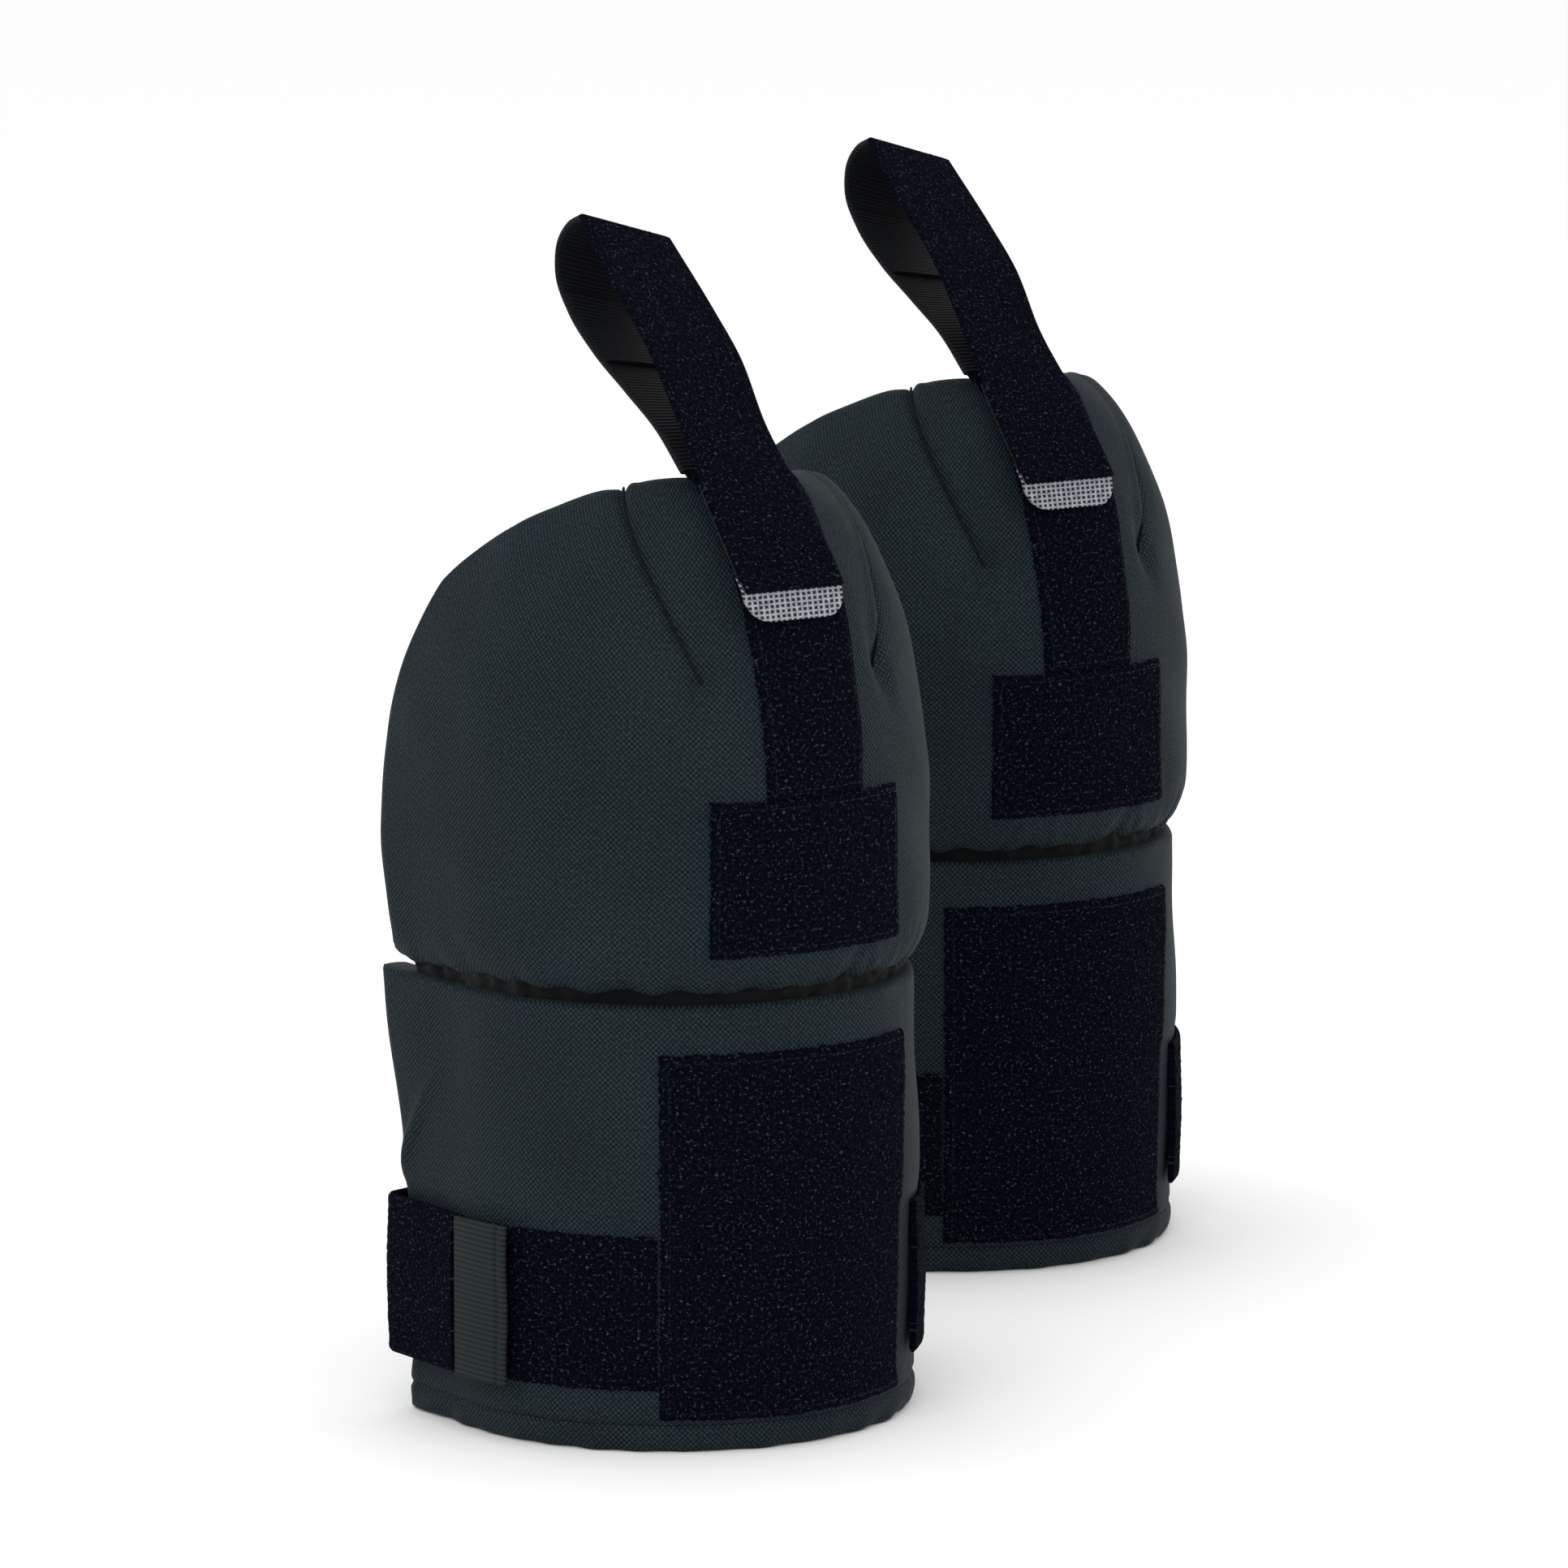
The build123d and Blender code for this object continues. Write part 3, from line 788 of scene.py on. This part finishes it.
def tape_grid(left, right, bottom, top, radius):
    """A rectangle in X and Z, as the way round and height: a = 80 asin(x / radius)."""
    columns = int((right - left) / PILE_STEP)
    rows = int((top - bottom) / PILE_STEP)
    x = np.linspace(left, right, columns)[:, None]
    z = np.linspace(bottom, top, rows)[None, :]
    x, z = np.broadcast_arrays(x, z)
    return ROUND * np.arcsin(np.clip(x / radius(z), -1, 1)), z.copy()


def tape(name, place, a, z, finish, nodes, height=PILE_HEIGHT, seed=20, ragged=0.25):
    """Tape on a panel, between its sewn-down border and its pile."""
    rows = np.arange(a.shape[0])[:, None]
    columns = np.arange(a.shape[1])[None, :]
    edge = np.minimum(
        np.minimum(rows, a.shape[0] - 1 - rows), np.minimum(columns, a.shape[1] - 1 - columns)
    )
    rng = np.random.default_rng(seed)
    pile = rng.normal(0, 0.13, a.shape) + 0.12 * ripple(a, z, 5, seed)
    inside = smooth(edge * PILE_STEP, 0, 2.6)
    drop = height * (1 - smooth(edge * PILE_STEP, -0.6, 1.5))
    jitter = ragged * (edge < 1)
    a = a + jitter * rng.normal(0, 1, a.shape)
    z = z + jitter * rng.normal(0, 1, a.shape)
    outer = place(a, z, height - 0.8 * drop + pile * (0.4 + 0.6 * inside))
    inner = place(a, z, -0.3)
    pieces = slab(name, outer, inner, np.stack((a, z), -1), finish)
    for side in SIDES:
        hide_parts(*(f"{side}_{node}" for node in nodes))
    return pieces


def node_rectangle(node, axis_of="left"):
    """The rectangle in X and Z that a CAD tape covers, round the leg's axis."""
    low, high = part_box(f"{axis_of}_{node}")
    x = AXES[axis_of][0]
    return low.x * 1000 - x, high.x * 1000 - x, low.z * 1000, high.z * 1000


left, right, bottom, top = node_rectangle("knee_patch")
a, z = tape_grid(left, right, bottom, top, knee_radius)
knee_patches = tape("knee_tape_patch", on_knee, a, z, PILE, ["knee_patch"], seed=21)
left, right, bottom, top = node_rectangle("front_strip")
a, z = tape_grid(left, right, bottom, TOP - 1.0, knee_radius)
front_strips = tape("front_tape", on_knee, a, z, PILE, ["front_strip"], seed=22)
left, right, bottom, top = node_rectangle("shin_patch")
left, right = left - PATCH_SHIFT, right - PATCH_SHIFT
a, z = tape_grid(left, right, bottom, top, shin_radius)
shin_patches = tape("shin_tape_patch", on_shin, a, z, PILE, ["shin_patch"], seed=23)
patch_left = a.min()
columns = int((QUARTER + 30 + patch_left) / PILE_STEP)
a = np.linspace(-QUARTER - 30, patch_left - 0.6, columns)[:, None]
z = np.linspace(STRAP_LOW + 0.5, STRAP_TOP + 0.8, int(50 / PILE_STEP))[None, :]
a, z = (grid.copy() for grid in np.broadcast_arrays(a, z))
side_strips = tape("side_tape", on_shin, a, z, PILE, ["side_strip"], height=1.7, seed=24)

# %% [markdown]
# ## The calf strap
#
# The strap is sewn to the right side of the shin patch, goes round the right wing,
# across the open back and round the left wing, and its end fastens on the side strip.
# Seen from above it is one curve: the pad's own outline where it lies on the pad, small
# rounds at the two rear corners, and a shallow bow between them. It is cut in two at the
# middle of the back, because it bends at both corners.

# %% Strap
STRAP_THICK = 2.3
CORNER = 6.0
low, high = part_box("left_calf_strap_back")
BACK_BOW = high.y * 1000 - AXES["left"][1] - 1.6
STRAP_REAR = 43.0


def strap_outline(points):
    """A curve through plan points, rounded: the points are subdivided evenly and each
    coordinate runs along a smooth curve over the distance travelled."""
    points = np.array(points, float)
    travelled = np.concatenate(([0], np.cumsum(np.hypot(*np.diff(points, axis=0).T))))
    s = np.arange(0, travelled[-1], 1.0)
    x = pchip(s, np.stack((travelled, points[:, 0]), -1))
    y = pchip(s, np.stack((travelled, points[:, 1]), -1))
    return s, x, y


def corner_points(centre_x, centre_y, radius, start, end):
    """Points round a corner, every fifteen degrees, with angles from +X."""
    angle = np.radians(np.linspace(start, end, 7))
    return np.stack((centre_x + radius * np.cos(angle), centre_y + radius * np.sin(angle)), -1)


RIGHT_MID = 82.0  # where the strap's middle lies on the right wing
LEFT_MID = 84.6  # and on the left wing, over the side strip
right_corner = corner_points(RIGHT_MID - CORNER, STRAP_REAR - CORNER, CORNER, 0, 82)
left_corner = corner_points(-LEFT_MID + CORNER, STRAP_REAR - CORNER, CORNER, 98, 180)
front_angle = np.radians(np.linspace(-50, -4, 9))
right_points = np.concatenate(
    (
        np.stack((RIGHT_MID * np.cos(front_angle), RIGHT_MID * np.sin(front_angle)), -1),
        [(RIGHT_MID, 12.0), (RIGHT_MID, 26.0)],
        right_corner,
        [(52.0, BACK_BOW - 5.0), (26.0, BACK_BOW - 1.2), (0.0, BACK_BOW)],
    )
)
left_points = np.concatenate(
    (
        [(0.0, BACK_BOW), (-26.0, BACK_BOW - 1.2), (-54.0, BACK_BOW - 5.0)],
        left_corner,
        [(-LEFT_MID, 26.0), (-LEFT_MID, 12.0), (-LEFT_MID, 0.3)],
    )
)


def strap(name, points, finish, nodes, low_edge, top_edge, thickness=STRAP_THICK, seed=30):
    """A strap that stands on edge along a plan curve: the curve pushed out and in by
    half the thickness along its own normal, thinned at the selvedges, with a slight
    wave of its edges."""
    s, x, y = strap_outline(points)
    tangent = np.stack((np.gradient(x), np.gradient(y)), -1)
    tangent /= np.linalg.norm(tangent, axis=-1, keepdims=True)
    outward = np.stack((tangent[:, 1], -tangent[:, 0]), -1)
    rows = int((top_edge - low_edge) / PILE_STEP)
    across = np.linspace(0, 1, rows)[None, :]
    height = low_edge + (top_edge - low_edge) * across + 0 * s[:, None]
    height = height + 0.35 * ripple(s[:, None] + 0 * height, 0 * height, 60, seed) * across
    edge = np.minimum(across, 1 - across) * (top_edge - low_edge)
    half = thickness / 2 * (1 - edge_round(edge, 1.6, 0.65)) + 0 * height
    rng = np.random.default_rng(seed)
    pile = rng.normal(0, 0.1, height.shape) * (edge > 1.6)
    curl = 0.5 * np.cos(math.tau * (across - 0.5)) * 0.6
    faces = []
    for offset in (half + pile + curl, -half + curl):
        plan = np.stack((x, y), -1)[:, None] + outward[:, None] * offset[..., None]
        faces.append(np.concatenate((plan, height[..., None]), -1))
    uv = np.stack((s[:, None] + 0 * height, height), -1)
    pieces = slab(name, faces[0], faces[1], uv, finish)
    for side in SIDES:
        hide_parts(*(f"{side}_{node}" for node in nodes))
    return pieces


right_straps = strap(
    "calf_strap_right", right_points, STRAP_FACE, ["strap_anchor"], STRAP_LOW, STRAP_TOP + 1.5
)
left_straps = strap(
    "calf_strap_left",
    left_points,
    STRAP_FACE,
    ["calf_strap_back", "calf_strap_end", "strap_hook_patch"],
    STRAP_LOW - 0.5,
    STRAP_TOP + 2.0,
    seed=31,
)

# %% [markdown]
# A strap's upper selvedge shows as a thin paler line, where the pile stops and the woven
# edge is bare. It is a narrow strip of its own, sitting on the strap's edge.

# %% Strap selvedges
left_selvedges = strap(
    "strap_selvedge_left", left_points, SELVEDGE, [], STRAP_TOP + 1.4, STRAP_TOP + 2.6, 2.9, 31
)
right_selvedges = strap(
    "strap_selvedge_right", right_points, SELVEDGE, [], STRAP_TOP + 0.9, STRAP_TOP + 2.1, 2.9, 30
)

# %% [markdown]
# ### The pull tab
#
# The strap ends in a tab of ribbed webbing, folded double and sewn across. It goes on
# round the front of the pad and stands a little off it, so that fingers can get behind.

# %% Pull tab
TAB_TURN = 17.5  # degrees of the front arc
TAB_LIFT = 2.2


def pull_tab():
    """A strip round the arc whose radius grows with the square of the way along it, and
    whose free edge is a rounded double fold."""
    columns, rows = 41, 61
    t = np.linspace(0, 1, columns)[:, None]
    w = np.linspace(0, 1, rows)[None, :]
    angle = np.radians(180.7 + TAB_TURN * t)
    radius = 85.0 + TAB_LIFT * t**2 + 0.35 * np.sin(w * math.pi * 3 + 0.5) * t
    seam = 0.45 * np.exp(-(((t - 0.84) / 0.03) ** 2))
    half = 0.85 * np.sqrt(1 - np.clip((t - 0.94) / 0.06, 0, 1) ** 2 * 0.8) - seam + 0 * w
    height = STRAP_LOW - 0.8 + (STRAP_TOP - STRAP_LOW + 2.4) * w + 0.5 * t
    faces = []
    for offset in (half, -half):
        r = radius + offset
        faces.append(np.stack((r * np.cos(angle), r * np.sin(angle), height + 0 * r), -1))
    uv = np.stack((84.0 * math.radians(TAB_TURN) * t + 0 * w, height + 0 * t), -1)
    return slab("pull_tab", faces[0], faces[1], uv, GROSGRAIN)


pull_tabs = pull_tab()
for side in SIDES:
    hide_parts(f"{side}_strap_pull_tab")

# %% [markdown]
# ## The belt loop
#
# The front strip goes on past the top edge of the panel as a tape. It bows back, folds
# over at the top and comes down again in front, where hook tape holds it on the strip.
# A tape that has been folded by hand is never quite square, so the two edges of this one
# are two curves in space, each drawn through points of its own, and the tape is the
# surface that straight lines from one edge to the other sweep out.

# %% Loop
LOOP_THICK = 2.0
LOOP_LEFT, LOOP_RIGHT = -23.5, 14.5
# backwards and up, in millimetres from the leg's axis and the floor
BACK_LEFT = (
    (-40.5, 313), (-27, 325), (-9, 336), (9.5, 347), (24, 359),
    (31, 370), (30, 381), (24, 387.5), (17, 390.5),
)
BACK_RIGHT = (
    (-40.5, 313), (-27, 324), (-9, 333), (9, 342), (22, 352),
    (29, 361.5), (30, 371), (27, 377), (21, 380),
)
FRONT_LEFT = (
    (17, 390.5), (2, 374), (-23, 350), (-41, 326.5), (-56, 305),
    (-69.5, 288), (-77, 278.5),
)
FRONT_RIGHT = (
    (21, 380), (-4, 359), (-19, 345), (-33, 325), (-52, 306),
    (-68.5, 289), (-76.8, 278.5),
)


def through(points, count):
    """A smooth curve through points in Y and Z, with evenly spaced points on it."""
    points = np.array(points, float)
    travelled = np.concatenate(([0], np.cumsum(np.hypot(*np.diff(points, axis=0).T))))
    s = np.linspace(0, travelled[-1], count)
    slope = np.gradient(points, travelled, axis=0)
    k = np.clip(np.searchsorted(travelled, s) - 1, 0, len(travelled) - 2)
    step = (travelled[k + 1] - travelled[k])[:, None]
    t = (s - travelled[k])[:, None] / step
    curve = (
        points[k] * (1 + 2 * t) * (1 - t) ** 2
        + points[k + 1] * t * t * (3 - 2 * t)
        + step * (slope[k] * t * (1 - t) ** 2 - slope[k + 1] * t * t * (1 - t))
    )
    return curve, travelled[-1]


LOOP_ROWS = 161  # points along the loop's tape
LOOP_COLUMNS = 41  # and across it


def ribbon(left, right, count):
    """The surface that straight lines between two edge curves sweep out, and its
    normals, the cross products of the directions along and across."""
    left, length = through(left, count)
    right, _ = through(right, count)
    across = np.linspace(0, 1, LOOP_COLUMNS)[None, :, None]
    start = np.concatenate((np.full((count, 1), LOOP_LEFT), left), -1)[:, None]
    end = np.concatenate((np.full((count, 1), LOOP_RIGHT), right), -1)[:, None]
    middle = start + (end - start) * across
    n = np.cross(np.gradient(middle, axis=0), np.gradient(middle, axis=1))
    n /= np.linalg.norm(n, axis=-1, keepdims=True)
    s = np.linspace(0, length, count)[:, None] + 0 * across[..., 0]
    x = across[..., 0] * (LOOP_RIGHT - LOOP_LEFT) + 0 * s
    return middle, n, s, x


def loop_tape(
    name,
    left,
    right,
    finish,
    nodes,
    first=0.0,
    last=1.0,
    seed=40,
    lift=0.0,
    thickness=LOOP_THICK,
    margin=0.0,
    pile=0.1,
    back_finish=None,
):
    """A stretch of the loop's tape, from the share first to the share last of its
    length, thinned at its selvedges; lift moves it off the tape's own middle."""
    middle, n, s, x = ribbon(left, right, LOOP_ROWS)
    keep = slice(int((LOOP_ROWS - 1) * first), int((LOOP_ROWS - 1) * last) + 1)
    columns = slice(int(margin), LOOP_COLUMNS - int(margin))
    middle, n, s, x = (grid[keep, columns] for grid in (middle, n, s, x))
    edge = np.minimum(x - x.min(), x.max() - x)
    half = thickness / 2 * (1 - edge_round(edge, 1.6, 0.6))
    rng = np.random.default_rng(seed)
    rough = rng.normal(0, pile, half.shape) * (edge > 1.2)
    outer = middle + n * (lift + half + rough)[..., None]
    inner = middle + n * (lift - half)[..., None]
    pieces = slab(name, outer, inner, np.stack((x, s), -1), finish, back_finish)
    for side in SIDES:
        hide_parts(*(f"{side}_{node}" for node in nodes))
    return pieces


back_limbs = loop_tape(
    "loop_back_tape", BACK_LEFT, BACK_RIGHT, FOLD_RIBS, ["loop_back_limb"], last=0.66, pile=0.02
)
fold_limbs = loop_tape(
    "loop_fold", BACK_LEFT, BACK_RIGHT, FOLD_RIBS, [], first=0.66, pile=0.02, seed=41
)
front_limbs = loop_tape(
    "loop_front_tape", FRONT_LEFT, FRONT_RIGHT, PILE, ["loop_front_limb"], pile=0.12, seed=42
)

# %% [markdown]
# ### Hook tape and grip tab
#
# Hook tape lines the inner face of the front limb where it meets the strip. Past its end
# hangs a tab of pale open weave with rounded corners, to pull the loop open by.

# %% Hook tape and grip tab
hook_tapes = loop_tape(
    "loop_hooks",
    FRONT_LEFT,
    FRONT_RIGHT,
    HOOKS,
    ["loop_hook_tape"],
    first=0.72,
    last=0.97,
    lift=-1.4,
    thickness=0.9,
    seed=43,
)
fold_webbings = loop_tape(
    "fold_webbing",
    BACK_LEFT,
    BACK_RIGHT,
    FOLD_RIBS,
    ["loop_fold_webbing"],
    first=0.45,
    last=0.72,
    lift=-1.6,
    thickness=1.0,
    margin=1,
    seed=44,
)


TAPE_END = 278.5  # height of the front limb's lower end


def grip_tab():
    """A rounded rectangle: each row is as wide as the corner circles leave it there. Its
    upper end lies behind the tape and leans with it, the rest hangs nearly upright."""
    columns, rows = 61, 31
    down = np.linspace(0, 1, rows)[None, :]
    t = np.linspace(0, 1, columns)[:, None]
    length = 14.5
    z = 283.0 - length * down
    above = np.clip(z - TAPE_END, 0, None)
    below = np.clip(TAPE_END - z, 0, None)
    y = -74.9 + 0.79 * above - 0.2 * below
    from_tip = length * (1 - down)
    left_in = edge_round(from_tip, 10.0, 10.0)
    right_in = edge_round(from_tip, 6.5, 6.5)
    x = LOOP_LEFT + left_in + (LOOP_RIGHT - LOOP_LEFT - left_in - right_in) * t
    half = 0.55
    y = y + 0 * x
    z = z + 0 * x
    outer = np.stack((x, y - half, z), -1)
    inner = np.stack((x, y + half, z), -1)
    return slab("grip_tab", outer, inner, np.stack((x, z), -1), GRIP)


grip_tabs = grip_tab()
for side in SIDES:
    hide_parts(f"{side}_loop_end_tab")

# %% [markdown]
# ## Stitching
#
# A lockstitch shows as a row of short threads, each a little raised, with a hole between
# one and the next. Every stitch is the same small spindle, copied along the seam and
# turned to follow it.


# %% Stitches
def spindle():
    """Rings round a short thread: its half width follows a half ellipse along it."""
    along = np.array((-1.0, -0.6, 0.6, 1.0))
    wide = np.array((0.15, 1.0, 1.0, 0.15))
    angle = np.linspace(0, math.tau, 7)[:-1]
    points = np.stack(
        (
            along[:, None] + 0 * angle,
            wide[:, None] * np.cos(angle),
            wide[:, None] * np.sin(angle),
        ),
        -1,
    ).reshape(-1, 3)
    ring = np.arange(6)
    after = np.roll(ring, -1)
    bands = [np.stack((ring, after, after + 6, ring + 6), -1) + 6 * k for k in range(3)]
    caps = [np.array(((3, 2, 1, 0), (5, 4, 3, 0))), np.array(((18, 19, 20, 21), (18, 21, 22, 23)))]
    return points, np.concatenate(bands + caps)


def stitches(name, place, paths, nodes, pitch=3.0, length=2.3, width=0.5, lift=0.25):
    """Copies the spindle along paths given as arrays of a and z, one every pitch: each
    copy is scaled, then turned into the axes made by the seam's direction and the
    panel's normal."""
    base, base_faces = spindle()
    centres, directions, ups = [], [], []
    for path in paths:
        path = np.array(path, float)
        travelled = np.concatenate(([0], np.cumsum(np.hypot(*np.diff(path, axis=0).T))))
        s = np.arange(pitch / 2, travelled[-1], pitch)
        a = np.interp(s, travelled, path[:, 0])
        z = np.interp(s, travelled, path[:, 1])
        a2 = np.interp(s + 0.5, travelled, path[:, 0])
        z2 = np.interp(s + 0.5, travelled, path[:, 1])
        here, there = place(a, z, lift), place(a2, z2, lift)
        up = place(a, z, lift + 1) - here
        centres.append(here)
        directions.append(there - here)
        ups.append(up)
    centre, along, up = (np.concatenate(part) for part in (centres, directions, ups))
    along /= np.linalg.norm(along, axis=-1, keepdims=True) + 1e-9
    aside = np.cross(up, along)
    size = base * np.array((length / 2, width / 2, width / 3))
    points = (
        centre[:, None]
        + size[None, :, :1] * along[:, None]
        + size[None, :, 1:2] * aside[:, None]
        + size[None, :, 2:] * up[:, None]
    ).reshape(-1, 3)
    shift = np.arange(len(centre))[:, None, None] * len(base)
    faces = (base_faces[None] + shift).reshape(-1, 4)
    pieces = {}
    for side in SIDES:
        placed = (points + AXES[side]) / 1000
        pieces[side] = make_mesh(f"{side}_{name}", placed, faces, placed[:, :2] * 1.0, [THREAD])
        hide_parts(*(f"{side}_{node}" for node in nodes))
    print(name, "has", len(centre), "stitches")
    return pieces


def frame_path(left, right, bottom, top, radius, inset=2.4):
    """A rectangle set in from a tape's edge, as a closed path of a and z."""
    x = np.array((left + inset, right - inset, right - inset, left + inset, left + inset))
    z = np.array((bottom + inset, bottom + inset, top - inset, top - inset, bottom + inset))
    fine = np.linspace(0, 4, 81)
    x, z = np.interp(fine, range(5), x), np.interp(fine, range(5), z)
    return np.stack((ROUND * np.arcsin(x / radius(z)), z), -1)


knee_seams = [frame_path(*node_rectangle("knee_patch"), knee_radius)]
left, right, bottom, top = node_rectangle("front_strip")
knee_seams.append(frame_path(left, right, bottom, TOP - 6, knee_radius))
knee_stitches = stitches(
    "knee_stitches", on_knee, knee_seams, ["upper_stitching"], lift=PILE_HEIGHT + 0.05
)
left, right, bottom, top = node_rectangle("shin_patch")
shin_seams = [frame_path(left - PATCH_SHIFT, right - PATCH_SHIFT, bottom, top, shin_radius)]
hem_a = np.linspace(-SHIN_REACH + 6, SHIN_REACH - 6, 200)
shin_stitches = stitches(
    "shin_stitches", on_shin, shin_seams, ["lower_stitching"], lift=PILE_HEIGHT + 0.05
)
hem_stitches = stitches(
    "hem_stitches", on_shin, [np.stack((hem_a, 9.0 + 0 * hem_a), -1)], [], lift=0.1
)

# %% [markdown]
# ## What moves with what
#
# The knee panel folds back over the shin panel, and cloth doesn't hinge on a line; the
# strap and the loop bend round their own corners. Nothing here bends them: most pieces
# have their placing baked into their points, the side strips and the hem stitches are hung
# on an empty named for the shin panel, the hook tape and the grip tab on one named for the
# loop's front, and the fold webbing on one named for the loop's back.


for side in SIDES:
    shin, knee = f"{side}_shin_panel", f"{side}_knee_panel"
    for pieces in (
        knee_panels,
        shin_panels,
        knee_linings,
        shin_linings,
        knee_patches,
        front_strips,
        shin_patches,
        knee_stitches,
        shin_stitches,
        *dart_seam_shades,
        crease_shade_bindings,
    ):
        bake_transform(pieces[side])
    for pieces in (side_strips, hem_stitches):
        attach(pieces[side], shin)
    for pieces in (right_straps, right_selvedges):
        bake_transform(pieces[side])
    for pieces in (left_straps, left_selvedges):
        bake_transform(pieces[side])
    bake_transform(pull_tabs[side])
    loop_back, loop_front = f"{side}_loop_back", f"{side}_loop_front"
    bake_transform(back_limbs[side])
    for pieces in (fold_limbs, front_limbs):
        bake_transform(pieces[side])
    for pieces in (hook_tapes, grip_tabs):
        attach(pieces[side], loop_front)
    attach(fold_webbings[side], loop_back)

# %% [markdown]

# %% [markdown]
# ## Floor, light and camera
#
# The pads stand on a plain white sweep. Black cloth needs big soft lights: one large
# softbox on the left in front for the shape, a weaker one on the right, and one above.


# %% Studio
def pale_floor():
    material = bpy.data.materials.new("white_paper")
    material.use_nodes = True
    shader = material.node_tree.nodes["Principled BSDF"]
    shader.inputs["Base Color"].default_value = srgb("#fbfbfb")
    shader.inputs["Roughness"].default_value = 0.9
    mesh = bpy.data.meshes.new("floor")
    size = 30.0
    corners = [(-size, -size, 0), (size, -size, 0), (size, size, 0), (-size, size, 0)]
    mesh.from_pydata(corners, [], [(0, 1, 2, 3)])
    mesh.materials.append(material)
    floor = bpy.data.objects.new("floor", mesh)
    bpy.context.scene.collection.objects.link(floor)


def softbox(name, place, aim, size, power):
    """An area light at place that faces aim."""
    light = bpy.data.lights.new(name, "AREA")
    light.shape = "RECTANGLE"
    light.size, light.size_y = size
    light.energy = power
    lamp = bpy.data.objects.new(name, light)
    bpy.context.scene.collection.objects.link(lamp)
    towards = np.array(aim, float) - np.array(place, float)
    forward = towards / np.linalg.norm(towards)
    side = np.cross(forward, (0, 0, 1))
    side /= np.linalg.norm(side)
    up = np.cross(side, forward)
    rows = np.stack((side, up, -forward), -1)
    matrix = np.eye(4)
    matrix[:3, :3] = rows
    matrix[:3, 3] = place
    lamp.matrix_world = Matrix(matrix)


pale_floor()
softbox("key_softbox", (-2.2, -1.6, 1.6), (0, 0, 0.2), (2.2, 2.2), 26)
softbox("fill_softbox", (1.6, -2.4, 1.2), (0, 0, 0.2), (1.6, 2.0), 7)
softbox("top_softbox", (0.2, 0.4, 2.6), (0, 0, 0.2), (2.5, 2.5), 12)
world = bpy.data.worlds.new("studio")
world.use_nodes = True
world.node_tree.nodes["Background"].inputs["Color"].default_value = (1, 1, 1, 1)
world.node_tree.nodes["Background"].inputs["Strength"].default_value = 1.0
bpy.context.scene.world = world
bpy.context.scene.view_settings.view_transform = "Standard"

# %% [markdown]
# The camera looks a little down, from the front and 35 degrees round to the left, from
# three metres away through a long lens.

# %% Camera
AZIMUTH, ELEVATION = math.radians(-35.0), math.radians(9.3)
DISTANCE = 3.0
LOOK_AT = np.array((-0.0668, -0.0625, 0.1994))


def place_camera():
    """Camera axes: backwards from the azimuth and elevation, right level, up across."""
    back = np.array(
        (
            math.sin(AZIMUTH) * math.cos(ELEVATION),
            -math.cos(AZIMUTH) * math.cos(ELEVATION),
            math.sin(ELEVATION),
        )
    )
    right = np.cross(-back, (0, 0, 1))
    right /= np.linalg.norm(right)
    up = np.cross(back, right)
    matrix = np.eye(4)
    matrix[:3, :3] = np.stack((right, up, back), -1)
    matrix[:3, 3] = LOOK_AT + back * DISTANCE
    data = bpy.data.cameras.new("camera")
    data.lens = 209.0
    data.sensor_width = 36.0
    camera = bpy.data.objects.new("camera", data)
    bpy.context.scene.collection.objects.link(camera)
    camera.matrix_world = Matrix(matrix)
    bpy.context.scene.camera = camera
    return camera


place_camera()
